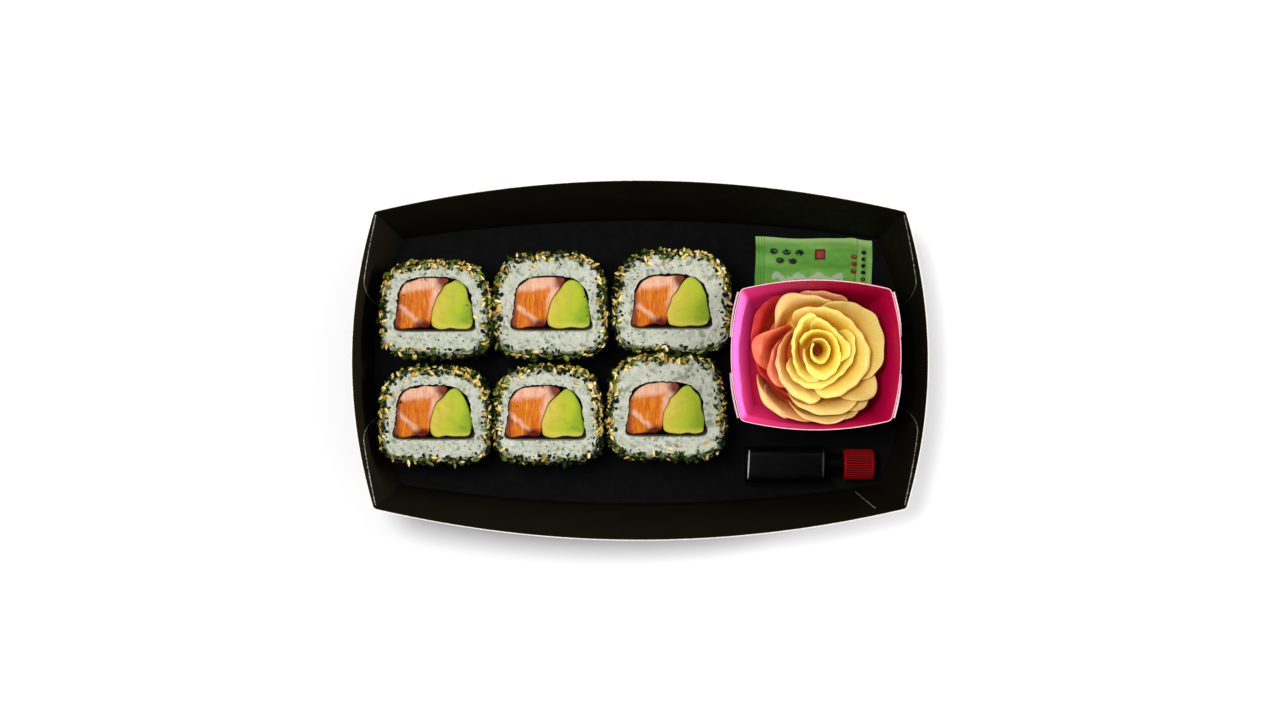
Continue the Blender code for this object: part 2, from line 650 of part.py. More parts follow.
def main():
    clear_scene()
    collection = new_collection("sushi tray")
    tray(collection, new_material("black board", (0.006, 0.006, 0.007), 0.55))
    materials = {
        "rice": new_material("rice", (0.57, 0.6, 0.53), 0.5),
        "nori": new_material("nori", (0.012, 0.014, 0.01), 0.5),
        "salmon": new_material("salmon", (0.76, 0.2, 0.03), 0.3),
        "avocado": new_material("avocado", (0.47, 0.56, 0.06), 0.4),
        "clear plastic": new_material("clear plastic", (0.8, 0.8, 0.8), 0.1, alpha=0.35),
        "soy sauce": new_material("soy sauce", (0.01, 0.006, 0.004), 0.1),
        "cap": new_material("cap", (0.32, 0.006, 0.008), 0.35),
    }
    for number, sizes in enumerate(ROLLS, 1):
        roll(number, sizes, collection, materials)
    ginger_pot(collection, new_material("pink board", (0.55, 0.01, 0.2), 0.45))
    ginger = new_material("pickled ginger", (0.8, 0.6, 0.26), 0.3)
    for number, petal in enumerate(PETALS, 1):
        ginger_slice(number, petal, collection, ginger)
    sachet(collection, new_material("green foil", (0.2, 0.45, 0.08), 0.35))
    soy_bottle(collection, materials)


main()
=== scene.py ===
# %% [markdown]
# # A takeaway sushi tray, seen from above
#
# The tray is folded from black coated board. In it stand six cut rolls, a pink board pot of
# pickled ginger arranged as a rose, a flat green sachet and a small bottle of soy sauce.
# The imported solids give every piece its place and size. This lesson puts finer surfaces
# over them. Each surface is a formula of two parameters, worked out with numpy for a whole
# grid of points at once, because a formula is easy to read, to change and to refine.

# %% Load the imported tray
import math

import bmesh
import bpy
import numpy as np
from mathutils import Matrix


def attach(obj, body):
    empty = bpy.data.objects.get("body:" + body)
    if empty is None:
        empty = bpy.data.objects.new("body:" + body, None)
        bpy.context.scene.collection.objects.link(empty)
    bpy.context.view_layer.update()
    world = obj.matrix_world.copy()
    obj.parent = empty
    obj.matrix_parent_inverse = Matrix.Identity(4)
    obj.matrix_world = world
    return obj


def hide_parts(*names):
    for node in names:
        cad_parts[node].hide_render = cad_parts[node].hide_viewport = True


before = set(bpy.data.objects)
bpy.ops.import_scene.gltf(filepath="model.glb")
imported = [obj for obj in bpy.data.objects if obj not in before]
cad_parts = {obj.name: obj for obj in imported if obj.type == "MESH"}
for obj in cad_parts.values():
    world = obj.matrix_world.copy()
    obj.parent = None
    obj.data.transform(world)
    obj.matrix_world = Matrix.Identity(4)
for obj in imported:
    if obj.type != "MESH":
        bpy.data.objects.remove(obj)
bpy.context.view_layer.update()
MM = 0.001

# %% [markdown]
# ## Camera, floor and light
#
# The photo looks straight down from about a metre, so the walls lean away from the lens
# only a little. A 75 mm lens at that distance gives the photo's framing. The backdrop is
# a plain pale floor. The key light hangs almost overhead, a little to the upper left, so
# the shadow at the lower right is short and soft. The second light stands low on the
# right. It shines over the tray's rim onto the walls on the left, and leaves their feet
# dark.

# %% The camera
RIM_HEIGHT = 40.0
CAMERA_DISTANCE = 960.0
CAMERA_TILT = math.radians(1.0)
PHOTO_SCALE = 0.36
PHOTO_WIDTH = 1280

camera_data = bpy.data.cameras.new("camera")
camera_data.sensor_width = 36.0
camera_data.lens = 36.0 * CAMERA_DISTANCE / (PHOTO_SCALE * PHOTO_WIDTH)
camera_data.clip_start = 0.01
camera = bpy.data.objects.new("camera", camera_data)
bpy.context.scene.collection.objects.link(camera)
camera.rotation_euler = (CAMERA_TILT, 0.0, 0.0)
back_off = CAMERA_DISTANCE * math.sin(CAMERA_TILT)
lift = RIM_HEIGHT + CAMERA_DISTANCE * math.cos(CAMERA_TILT)
camera.location = (0.0, -back_off * MM, lift * MM)
bpy.context.scene.camera = camera
print("lens", round(camera_data.lens, 1), "mm")

# %% The lights and the world
WORLD_STRENGTH = 0.42

scene = bpy.context.scene
scene.view_settings.view_transform = "Standard"
world = bpy.data.worlds.new("studio")
scene.world = world
world.use_nodes = True
background = world.node_tree.nodes["Background"]
background.inputs["Color"].default_value = (1.0, 1.0, 1.0, 1.0)
background.inputs["Strength"].default_value = WORLD_STRENGTH


def soft_light(name, place, aim, size, power):
    """A square area light at a place in metres, turned to face the aim."""
    light = bpy.data.lights.new(name, "AREA")
    light.shape = "SQUARE"
    light.size = size
    light.energy = power
    obj = bpy.data.objects.new(name, light)
    obj.location = place
    direction = obj.location - type(obj.location)(aim)
    obj.rotation_euler = direction.to_track_quat("Z", "Y").to_euler()
    scene.collection.objects.link(obj)
    return obj


soft_light("key", (-0.3, 0.16, 1.28), (0.0, 0.0, 0.0), 0.42, 12.5)
soft_light("side", (1.25, 0.2, 0.48), (0.0, 0.0, 0.02), 0.5, 20.0)
print("two soft lights")

# %% [markdown]
# ## Helpers for meshes
#
# Almost every piece below is a stack of closed loops, or a sheet. A grid of points needs
# only one rule for its faces: each point joins the next one in its row and the row above.
# The rule is written once, for whole arrays of corner numbers.

# %% Grids of points become meshes
def full_turn(count):
    """Evenly spaced angles round a full turn."""
    return np.arange(count) / count * 2 * np.pi


def grid_faces(rows, columns, closed):
    """Quads between neighbouring points of a grid; a closed grid's last column joins its first."""
    r = np.arange(rows - 1)[:, None]
    c = np.arange(columns if closed else columns - 1)[None, :]
    n = (c + 1) % columns
    corners = (r * columns + c, r * columns + n, (r + 1) * columns + n, (r + 1) * columns + c)
    return np.stack(corners, axis=-1).reshape(-1, 4)


def skin(loops):
    """Points and faces over closed loops, with each end shut by a fan to its middle."""
    rows, columns = loops.shape[:2]
    points = loops.reshape(-1, 3)
    faces = grid_faces(rows, columns, True).tolist()
    ring = np.arange(columns)
    for first, turn in ((0, 1), ((rows - 1) * columns, -1)):
        hub = np.full(columns, len(points))
        edge = first + ring
        fan = np.stack([hub, np.roll(edge, -turn), edge], axis=-1)
        points = np.vstack([points, points[edge].mean(axis=0)])
        faces += fan.tolist()
    return points, faces


def ring_skin(loops):
    """Points and faces of a closed tube-like skin whose last loop joins its first."""
    rows, columns = loops.shape[:2]
    faces = grid_faces(rows + 1, columns, True) % (rows * columns)
    return loops.reshape(-1, 3), faces.tolist()


def thin_sheet(front, back):
    """Points and faces of a thin closed sheet between two grids of the same size."""
    rows, columns = front.shape[:2]
    size = rows * columns
    quads = grid_faces(rows, columns, False)
    index = np.arange(size).reshape(rows, columns)
    border = np.concatenate([index[0, :-1], index[:-1, -1], index[-1, :0:-1], index[:0:-1, 0]])
    onward = np.roll(border, -1)
    rim = np.stack([border, size + border, size + onward, onward], axis=-1)
    faces = np.concatenate([quads, size + quads[:, ::-1], rim])
    return np.concatenate([front.reshape(-1, 3), back.reshape(-1, 3)]), faces.tolist()


def join(skins):
    """One list of points and one of faces out of several skins."""
    offset = 0
    points = []
    faces = []
    for part_points, part_faces in skins:
        points.append(part_points)
        faces += [[corner + offset for corner in face] for face in part_faces]
        offset += len(part_points)
    return np.concatenate(points), faces


def new_piece(name, points, faces, material, replaced, slot, crease=40.0):
    """A piece from points in millimetres, riding on the tray, with its faces turned outwards.

    It replaces the named solids, and edges sharper than crease, in degrees, stay sharp.
    """
    mesh = bpy.data.meshes.new(name)
    mesh.from_pydata((np.asarray(points) * MM).tolist(), [], faces)
    shape = bmesh.new()
    shape.from_mesh(mesh)
    bmesh.ops.recalc_face_normals(shape, faces=shape.faces)
    shape.to_mesh(mesh)
    shape.free()
    mesh.polygons.foreach_set("use_smooth", np.ones(len(mesh.polygons), bool))
    mesh.set_sharp_from_angle(angle=math.radians(crease))
    mesh.materials.append(material)
    obj = bpy.data.objects.new(name, mesh)
    scene.collection.objects.link(obj)
    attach(obj, "root")
    if replaced:
        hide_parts(*replaced)
    return obj


def store(obj, name, values):
    """A number for each point of the piece, which its material can read."""
    layer = obj.data.attributes.new(name, "FLOAT", "POINT")
    layer.data.foreach_set("value", np.asarray(values, np.float32).ravel())


def store_uv(obj, name, plane):
    """A UV map that gives each face corner the plane coordinates of its point."""
    corner = np.empty(len(obj.data.loops), np.int32)
    obj.data.loops.foreach_get("vertex_index", corner)
    layer = obj.data.uv_layers.new(name=name)
    layer.data.foreach_set("uv", np.asarray(plane, np.float32)[corner].ravel())


print("mesh helpers ready")

# %% [markdown]
# ## Helpers for relief
#
# Food is never smooth. Two kinds of relief do most of the work here. A ripple is a sum of
# sine waves in random directions, which is smooth and never repeats. Grain relief is the
# highest of many half-sunk ellipsoids, which is what a packed layer of rice looks like.

# %% Ripples and grains
def ripple(points, size, seed, waves=7):
    """Smooth noise from -1 to 1: the mean of sines along random directions, about size long."""
    draw = np.random.default_rng(seed)
    direction = draw.normal(size=(waves, points.shape[-1]))
    direction /= np.linalg.norm(direction, axis=1)[:, None]
    pitch = 2 * np.pi / (size * draw.uniform(0.6, 1.5, waves))
    phase = draw.uniform(0, 2 * np.pi, waves)
    return np.sin((points @ direction.T) * pitch + phase).sum(-1) / np.sqrt(waves) / 1.2


def grain_relief(across, up, lap, centres, angles, length, width):
    """Height from 0.15 to 1 of the highest grain over each point; across repeats after lap.

    A grain is a paraboloid on an ellipse, 1 - (u / long) ** 2 - (w / wide) ** 2, with u
    along it and w across it. Wide grains lie higher than narrow ones.
    """
    height = np.full(across.shape, 0.15)
    for (a, b), angle, long, wide in zip(centres, angles, length, width):
        x = (across - a + lap / 2) % lap - lap / 2
        y = up - b
        along = (x * math.cos(angle) + y * math.sin(angle)) / long
        aside = (y * math.cos(angle) - x * math.sin(angle)) / wide
        cap = np.clip(1 - along**2 - aside**2, 0, 1) ** 0.8 * (0.4 + 0.6 * wide / width.max())
        height = np.maximum(height, cap)
    return height


print("relief helpers ready")

# %% [markdown]
# ## Helpers for materials
#
# A material is a small graph of nodes that ends in one Principled shader. The helpers
# make a node, feed its inputs and hand back its output, so that a material reads from
# top to bottom. Colours are given as they look on screen, from 0 to 255, and turned into
# the linear values that the renderer works with.

# %% Nodes and colours
def srgb(red, green, blue):
    """Linear colour with alpha from a screen colour: ((c + 0.055) / 1.055) ** 2.4."""
    screen = np.array([red, green, blue]) / 255
    linear = np.where(screen <= 0.04045, screen / 12.92, ((screen + 0.055) / 1.055) ** 2.4)
    return (*linear.tolist(), 1.0)


def node(tree, kind, inputs=(), **settings):
    """A node with its settings made and its inputs set to values or fed by outputs."""
    made = tree.nodes.new(kind)
    for key, value in settings.items():
        setattr(made, key, value)
    for key, value in dict(inputs).items():
        if isinstance(value, bpy.types.NodeSocket):
            tree.links.new(value, made.inputs[key])
        else:
            made.inputs[key].default_value = value
    return made


def maths(tree, operation, first, second=0.0, clamp=False):
    """The output of a math node."""
    made = node(tree, "ShaderNodeMath", {0: first, 1: second}, operation=operation, use_clamp=clamp)
    return made.outputs[0]


def mix(tree, factor, first, second, blend="MIX"):
    """The colour between two colours, or one colour blended over another."""
    made = node(tree, "ShaderNodeMix", {0: factor, 6: first, 7: second}, data_type="RGBA", blend_type=blend)
    return made.outputs[2]


def laid(tree, mask, share, under, over):
    """One colour laid over another where the mask is 1, at a share of its full strength."""
    return mix(tree, maths(tree, "MULTIPLY", mask, share), under, over)


def noise(tree, vector, scale, detail=3.0, rough=0.5):
    """The value of a noise texture, from 0 to 1."""
    inputs = {"Vector": vector, "Scale": scale, "Detail": detail, "Roughness": rough}
    return node(tree, "ShaderNodeTexNoise", inputs).outputs[0]


def steps(tree, value, low, high, result_low=0.0, result_high=1.0):
    """The value taken smoothly from one range to another, and held outside it."""
    inputs = {0: value, 1: low, 2: high, 3: result_low, 4: result_high}
    made = node(tree, "ShaderNodeMapRange", inputs, interpolation_type="SMOOTHSTEP")
    return made.outputs[0]


def ramp(tree, value, stops):
    """A colour read along a ramp of (place, colour) stops."""
    made = node(tree, "ShaderNodeValToRGB", {0: value})
    band = made.color_ramp
    while len(band.elements) < len(stops):
        band.elements.new(0.5)
    for element, (place, colour) in zip(band.elements, stops):
        element.position = place
        element.color = colour
    return made.outputs[0]


def attribute(tree, name):
    """A number stored on the points of the piece."""
    return node(tree, "ShaderNodeAttribute", attribute_name=name).outputs["Fac"]


def object_place(tree):
    """The place on the piece, in metres."""
    return node(tree, "ShaderNodeTexCoord").outputs["Object"]


def stretched(tree, vector, scale, turn=(0.0, 0.0, 0.0)):
    """The place stretched and turned, so that a pattern runs along the piece."""
    inputs = {"Vector": vector, "Scale": scale, "Rotation": turn}
    return node(tree, "ShaderNodeMapping", inputs).outputs[0]


def bump(tree, height, distance, strength=1.0):
    """A normal bent by a height, with the distance in metres."""
    inputs = {"Height": height, "Distance": distance, "Strength": strength}
    return node(tree, "ShaderNodeBump", inputs).outputs[0]


def new_material(name, roughness=0.5, **sockets):
    """A material, its tree and its Principled shader, with constants set on the shader."""
    material = bpy.data.materials.new(name)
    material.use_nodes = True
    tree = material.node_tree
    shader = tree.nodes["Principled BSDF"]
    shader.inputs["Roughness"].default_value = roughness
    for key, value in sockets.items():
        shader.inputs[key.replace("_", " ")].default_value = value
    return material, tree, shader


def feed(tree, shader, **sockets):
    """Link each output to the shader's input of that name."""
    for key, value in sockets.items():
        tree.links.new(value, shader.inputs[key.replace("_", " ")])


print("node helpers ready")

# %% [markdown]
# Two effects come back in many materials, so each is a node group. Mottling is noise at
# two sizes, for colour that is never quite even. Board is the coated paper of the tray
# and the pot: a faint fibre pattern, and a raw edge wherever the piece stores a cut.

# %% The mottling group
def new_group(name, inputs, outputs):
    """An empty node group with the named float or vector inputs and outputs."""
    group = bpy.data.node_groups.new(name, "ShaderNodeTree")
    for label, kind, value in inputs:
        socket = group.interface.new_socket(label, in_out="INPUT", socket_type=kind)
        if value is not None:
            socket.default_value = value
    for label, kind in outputs:
        group.interface.new_socket(label, in_out="OUTPUT", socket_type=kind)
    start = group.nodes.new("NodeGroupInput")
    end = group.nodes.new("NodeGroupOutput")
    return group, start, end


def mottling_group():
    """Noise at the given scale, with finer noise laid over it; the output is centred on 0.5."""
    inputs = (("Vector", "NodeSocketVector", None), ("Scale", "NodeSocketFloat", 200.0))
    group, start, end = new_group("mottling", inputs, (("Mask", "NodeSocketFloat"),))
    coarse = noise(group, start.outputs["Vector"], start.outputs["Scale"], 2.0)
    finer = maths(group, "MULTIPLY", start.outputs["Scale"], 4.3)
    fine = noise(group, start.outputs["Vector"], finer, 3.0, 0.6)
    weighted = maths(group, "MULTIPLY", fine, 0.35)
    total = maths(group, "MULTIPLY_ADD", coarse, 0.65)
    group.links.new(weighted, total.node.inputs[2])
    group.links.new(total, end.inputs["Mask"])
    return group


MOTTLING = mottling_group()


def mottled(tree, vector, scale):
    """The mask of the mottling group at a place and scale."""
    made = node(tree, "ShaderNodeGroup", node_tree=MOTTLING)
    tree.links.new(vector, made.inputs["Vector"])
    made.inputs["Scale"].default_value = scale
    return made.outputs["Mask"]


print("group", MOTTLING.name, "with", len(MOTTLING.nodes), "nodes")

# %% The board group
def board_group():
    """Fibre height for coated board, and a broken mask where its raw edge shows."""
    inputs = (("Vector", "NodeSocketVector", None), ("Cut", "NodeSocketFloat", 0.0))
    outputs = (("Height", "NodeSocketFloat"), ("Raw", "NodeSocketFloat"))
    group, start, end = new_group("board", inputs, outputs)
    place = start.outputs["Vector"]
    long_fibres = noise(group, stretched(group, place, (260.0, 1400.0, 900.0)), 1.0, 4.0)
    cross_fibres = noise(group, stretched(group, place, (1300.0, 300.0, 900.0)), 1.0, 4.0)
    fibres = maths(group, "ADD", long_fibres, cross_fibres)
    ragged = noise(group, place, 2200.0, 2.0)
    worn = maths(group, "MULTIPLY_ADD", ragged, 0.5)
    group.links.new(start.outputs["Cut"], worn.node.inputs[2])
    group.links.new(fibres, end.inputs["Height"])
    group.links.new(steps(group, worn, 0.62, 0.84), end.inputs["Raw"])
    return group


BOARD = board_group()


def board_outputs(tree):
    """Fibre height and raw-edge mask of the board group, for this piece's place and stored cut."""
    made = node(tree, "ShaderNodeGroup", node_tree=BOARD)
    tree.links.new(object_place(tree), made.inputs["Vector"])
    tree.links.new(attribute(tree, "cut"), made.inputs["Cut"])
    return made.outputs["Height"], made.outputs["Raw"]


print("group", BOARD.name, "with", len(BOARD.nodes), "nodes")

# %% [markdown]
# ## The board tray
#
# The real tray is one flat blank of board. Its walls are creased along curved lines, so
# they bow outwards as they fold up. A box with a bevel couldn't bow, so the outline is a
# rectangle whose sides are parabolas, once at the rim and once at the floor, and the wall
# is the straight line between them. The board's cut edge stays uncoated and pale.

# %% The tray's sizes
TRAY_BOARD = 0.6
TRAY_RIM = ((96.0, 53.7), (8.0, 11.3), 1.2)
TRAY_FLOOR = ((89.5, 46.5), (10.8, 7.0), 0.8)
SIDE_POINTS = 64
CORNER_POINTS = 5


def bowed_outline(corner, bow, rounding, side_points=SIDE_POINTS):
    """A closed outline: each side is a line plus bow * 4t(1 - t), each corner a Bezier arc."""
    signs = np.array([[1, -1], [1, 1], [-1, 1], [-1, -1]])
    corners = signs * np.array(corner)
    sides = []
    for k in range(4):
        start, end = corners[k], corners[(k + 1) % 4]
        trim = rounding / np.linalg.norm(end - start)
        t = np.linspace(trim, 1 - trim, side_points)[:, None]
        outwards = np.array([[1, 0], [0, 1], [-1, 0], [0, -1]])[k]
        sides.append(start + (end - start) * t + outwards * bow[k % 2] * 4 * t * (1 - t))
    outline = []
    for k in range(4):
        last, first = sides[k][-1], sides[(k + 1) % 4][0]
        t = np.linspace(0, 1, CORNER_POINTS + 2)[1:-1, None]
        peak = corners[(k + 1) % 4]
        arc = last * (1 - t) ** 2 + 2 * peak * t * (1 - t) + first * t**2
        outline += [sides[k], arc]
    return np.concatenate(outline)


def inset(outline, distance):
    """The outline moved inwards along the mean direction of its neighbours' normals."""
    along = np.roll(outline, -1, axis=0) - np.roll(outline, 1, axis=0)
    along /= np.linalg.norm(along, axis=1)[:, None]
    return outline + np.column_stack([-along[:, 1], along[:, 0]]) * distance


def flat_loop(outline, z):
    """A loop of points at one height, or at a height for each point."""
    return np.column_stack([outline, np.broadcast_to(z, len(outline))])


def board_box(rim, floor, base, height, board, rows=14):
    """Loops from the middle of the underside, up the outside, over the rim and down inside.

    Also the raw edge, which is 1 on the rim's outer loop and 0 elsewhere, and the rise of
    each point up the inside, which is 0 outside.
    """
    rim_out, floor_out = bowed_outline(*rim), bowed_outline(*floor)
    rim_in, floor_in = inset(rim_out, board), inset(floor_out, board)
    loops = [flat_loop(floor_out * s, base) for s in (0.25, 0.6, 0.9, 0.99)]
    loops += [flat_loop(floor_out, base + 0.15)]
    for t in np.linspace(0.01, 0.995, rows):
        loops.append(flat_loop(floor_out + (rim_out - floor_out) * t, base + height * t))
    loops += [flat_loop(rim_out, base + height), flat_loop(rim_in, base + height)]
    inside = np.linspace(0.995, 0.03, rows)
    for t in inside:
        level = base + board + (height - board) * t
        loops.append(flat_loop(floor_in + (rim_in - floor_in) * t, level))
    loops += [flat_loop(floor_in, base + board)]
    loops += [flat_loop(floor_in * s, base + board) for s in (0.992, 0.9, 0.6, 0.25)]
    loops = np.array(loops)
    raw = np.zeros(loops.shape[:2])
    raw[5 + rows] = 1.0
    rise = np.zeros(loops.shape[:2])
    rise[7 + rows:7 + 2 * rows] = inside[:, None]
    return loops, raw, rise


tray_loops, tray_raw, _ = board_box(TRAY_RIM, TRAY_FLOOR, 0.0, RIM_HEIGHT, TRAY_BOARD)
print("tray loops", tray_loops.shape)

# %% [markdown]
# The tabs that hold the corners are part of the same blank. Each one turns round the
# corner and is glued inside the short wall. Its cut edge slopes down the wall and ends in
# a round turn near the floor. The tab is a sheet in the wall's own coordinates: t along
# the wall and a drop from rim to floor, moved inwards by its thickness.

# %% The glued corner tabs
TAB_THICKNESS = 0.45
# Shares of the wall's length: where the slope ends, and the whole tab.
TAB_SLOPE_END = 0.22
TAB_SPAN = 0.28
# Shares of the wall's height: the drop of the slope and of the turn, and the tab's foot.
TAB_SLOPE_DROP = 0.13
TAB_TURN_DROP = 0.83
TAB_FOOT = 0.982


def wall_point(axis, side, t, drop, depth):
    """A point of a wall: rim and floor parabolas, blended by the drop, moved in by depth.

    The axis is 0 for a short wall and 1 for a long one, t runs along it from its positive
    end, and the drop is 0 at the rim and 1 at the floor.
    """
    bow = 4 * t * (1 - t)
    rim = TRAY_RIM[0][axis] + TRAY_RIM[1][axis] * bow
    floor = TRAY_FLOOR[0][axis] + TRAY_FLOOR[1][axis] * bow
    out = side * (rim + (floor - rim) * drop - depth)
    half = TRAY_RIM[0][1 - axis] + (TRAY_FLOOR[0][1 - axis] - TRAY_RIM[0][1 - axis]) * drop
    along = half * (1 - 2 * t)
    x, y = (out, along) if axis == 0 else (along, out)
    return np.stack(np.broadcast_arrays(x, y, RIM_HEIGHT * (1 - drop)), axis=-1)


def tab_edge(along):
    """The drop of a tab's cut edge: a gentle slope, then a quarter circle down to the floor."""
    slope = TAB_SLOPE_DROP * np.clip(along / TAB_SLOPE_END, 0, 1) ** 0.75
    turn = np.clip((along - TAB_SLOPE_END) / (TAB_SPAN - TAB_SLOPE_END), 0, 1)
    return slope + TAB_TURN_DROP * (1 - np.sqrt(1 - turn**2))


def corner_tab(side, end, stretch):
    """One tab, on the short wall at side, at the wall's first or last end."""
    even = np.linspace(0.012, TAB_SLOPE_END, 20)
    turn = TAB_SLOPE_END + (TAB_SPAN - TAB_SLOPE_END) * np.sin(np.linspace(0.08, np.pi / 2, 16))
    along = np.concatenate([even, turn])[:, None]
    down = np.linspace(0, 1, 14)[None, :]
    drop = tab_edge(along) * (1 - down) + TAB_FOOT * down
    t = along * stretch if end > 0 else 1 - along * stretch
    front = wall_point(0, side, t, drop, TRAY_BOARD + TAB_THICKNESS)
    back = wall_point(0, side, t, drop, TRAY_BOARD - 0.1)
    return thin_sheet(front, back), (down + 0 * along).ravel()


def tab_cut(down):
    """Where a tab's raw edge shows: along the upper border of its front face, and faintly."""
    border = (down < 0.001).astype(float)
    return np.concatenate([0.48 * border, 0.25 * border])


# The side and end of each tab, and how much longer it is than the rest.
TABS = ((-1, 1, 1.0), (-1, -1, 1.0), (1, 1, 1.0), (1, -1, 1.12))
tabs = [corner_tab(*row) for row in TABS]
print(len(tabs), "tabs")

# %% [markdown]
# Black board isn't black paint. The coating is a very dark grey. On the floor it is tinted
# a little blue, a painted reflection, and on the walls brown, painted light where they
# catch it at a low angle. It has hardly any gloss, so the shader's specular level is low.
# A faint fibre pattern breaks up what gloss there is.

# %% The board's finish
def board_material(name, flat, upright, raw, roughness, specular):
    """Coated board: two close colours mottled, painted-light colours where wall is 1, fibres and a raw
    edge.
    """
    material, tree, shader = new_material(name, roughness, Specular_IOR_Level=specular)
    place = object_place(tree)
    height, cut = board_outputs(tree)
    cloud = mottled(tree, place, 90.0)
    # Where wall is 1 the upright colours are painted light: warm brown on the tray's walls, a lilac sheen
    # on the pot's left wall.
    tone = mix(tree, attribute(tree, "wall"), mix(tree, cloud, *flat), mix(tree, cloud, *upright))
    dull = mix(tree, 1.0, raw, srgb(215, 210, 200), "MULTIPLY")
    paper = mix(tree, noise(tree, place, 900.0), raw, dull)
    feed(tree, shader, Base_Color=mix(tree, cut, tone, paper))
    feed(tree, shader, Normal=bump(tree, height, 0.00002, 0.5))
    rough = steps(tree, mottled(tree, place, 240.0), 0.3, 0.7, roughness - 0.07, roughness + 0.08)
    feed(tree, shader, Roughness=maths(tree, "MAXIMUM", rough, maths(tree, "MULTIPLY", cut, 0.85)))
    return material


# The floor's dark grey carries a painted cool reflection, and the walls' a painted warm light.
black_floor = (srgb(6, 6, 7), srgb(12, 12, 13))
black_wall = (srgb(15, 13, 7), srgb(25, 22, 13))
black_board = board_material("black_board", black_floor, black_wall, srgb(248, 244, 234), 0.68, 0.03)
tray_skin = skin(tray_loops)
tray = new_piece("tray_board", *tray_skin, black_board, ["tray"], "black_board")
store(tray, "wall", np.clip((tray_skin[0][:, 2] - 1.0) / 4.0, 0, 1))
store(tray, "cut", np.append(tray_raw.ravel(), [0.0, 0.0]))
tab_skin = join([part[0] for part in tabs])
tab_piece = new_piece("corner_tabs", *tab_skin, black_board, [], "black_board")
store(tab_piece, "cut", np.concatenate([tab_cut(part[1]) for part in tabs]))
store(tab_piece, "wall", np.ones(len(tab_skin[0])))
print("tray", len(tray.data.polygons), "faces, tabs", len(tab_piece.data.polygons))

# %% [markdown]
# A short creased flap shows on the front wall near the right corner as one thin pale
# line. It is a strip of raw board, laid a tenth of a millimetre proud of the wall.

# %% The cut line on the front wall
# Places on the wall as t and drop, and half the line's width as a share of the wall.
LINE_START = (0.058, 0.97)
LINE_END = (0.05, 0.2)
LINE_HALF_WIDTH = 0.0006

run = np.linspace(0, 1, 24)[:, None]
across = np.array([-LINE_HALF_WIDTH, LINE_HALF_WIDTH])[None, :]
line_t = LINE_START[0] + (LINE_END[0] - LINE_START[0]) * run + across
line_drop = LINE_START[1] + (LINE_END[1] - LINE_START[1]) * run
line_front = wall_point(1, -1, line_t, line_drop, TRAY_BOARD + 0.12)
line_back = wall_point(1, -1, line_t, line_drop, TRAY_BOARD - 0.1)
line_skin = thin_sheet(line_front, line_back)
cut_line = new_piece("cut_line", *line_skin, black_board, [], "black_board")
store(cut_line, "cut", np.full(len(line_skin[0]), 0.46))
store(cut_line, "wall", np.ones(len(line_skin[0])))
print("cut line", len(cut_line.data.polygons), "faces")

# %% [markdown]
# ## The rolls
#
# These are inside-out rolls: rice outside, a band of seaweed, then salmon and avocado.
# They were pressed square while wet, so their outline is a superellipse, flat below and
# rounder above. A superellipse has a plain formula for its radius at any angle, which
# lets the rice be a polar grid: rows run up the side, over the edge and in to the hole.

# %% The rolls' sizes
ROLL_BASE = 0.9
ROLL_TOP = 28.9
# For each roll: its centre, width and depth, and how far its filling is off the centre.
ROLLS = (
    (-74.7, 18.8, 39.8, 33.2, -0.2, 0.0),
    (-32.9, 20.2, 41.0, 36.2, 0.6, -1.1),
    (11.8, 21.6, 42.0, 35.2, -0.4, -1.8),
    (-74.7, -20.0, 39.8, 33.2, -0.5, -0.6),
    (-33.6, -19.7, 38.8, 33.6, -0.9, -1.0),
    (9.6, -17.0, 42.0, 36.4, -0.1, -2.4),
)
RICE_POWERS = (3.4, 4.6)
FILLING_HALF_WIDTH = 13.5
FILLING_TOP = 10.2
FILLING_BOTTOM = 8.9
FILLING_CENTRE_Y = 1.5
FILLING_POWERS = (3.0, 2.5, 9.0)
NORI_THICKNESS = 0.5
ROUND = 320


def superellipse(angles, half_width, up, down, power):
    """Radius (|cos / a| ** p + |sin / b| ** p) ** (-1 / p), with its own b below."""
    cosine = np.abs(np.cos(angles)) / half_width
    sine = np.abs(np.sin(angles)) / np.where(np.sin(angles) > 0, up, down)
    return (cosine**power + sine**power) ** (-1 / power)


def rice_outline(angles, width, depth):
    """The outside of a roll, a little narrower towards its top side."""
    power = np.where(np.sin(angles) > 0, *RICE_POWERS)
    radius = superellipse(angles, width / 2, depth / 2, depth / 2, power)
    x, y = radius * np.cos(angles), radius * np.sin(angles)
    return np.column_stack([x * (1 - 0.04 * (1 + 2 * y / depth)), y])


def filling_outline(angles, grow):
    """The outside of the filling: a dome on a flat base with sharp, flared corners."""
    half, up, down = FILLING_HALF_WIDTH + grow, FILLING_TOP + grow, FILLING_BOTTOM + grow
    upper_left, upper_right, below = FILLING_POWERS
    upper = np.where(np.cos(angles) > 0, upper_right, upper_left)
    radius = superellipse(angles, half, up, down, np.where(np.sin(angles) > 0, upper, below))
    x, y = radius * np.cos(angles), radius * np.sin(angles)
    flare = 1 + 0.09 * np.clip(-y / FILLING_BOTTOM, 0, 1)
    return np.column_stack([x * flare, y + FILLING_CENTRE_Y])


ring_angles = full_turn(ROUND)
print("rolls", len(ROLLS), "with", ROUND, "points round each")

# %% [markdown]
# The rice is the body of each roll. Its side and its cut face both carry grain relief:
# whole grains on the side, and shallower, sliced grains on the face, where the knife
# smeared them. The height of the relief is stored too, so that the material can paint
# shade into the creases between grains. Round the upper part of the filling the rice leans
# in over the seaweed, so only a thin line of it shows there.

# %% The rice
SIDE_GRAINS = 420
FACE_GRAINS = 1300
# The face's grains don't repeat, so their lap is longer than any roll.
NO_LAP = 1000.0


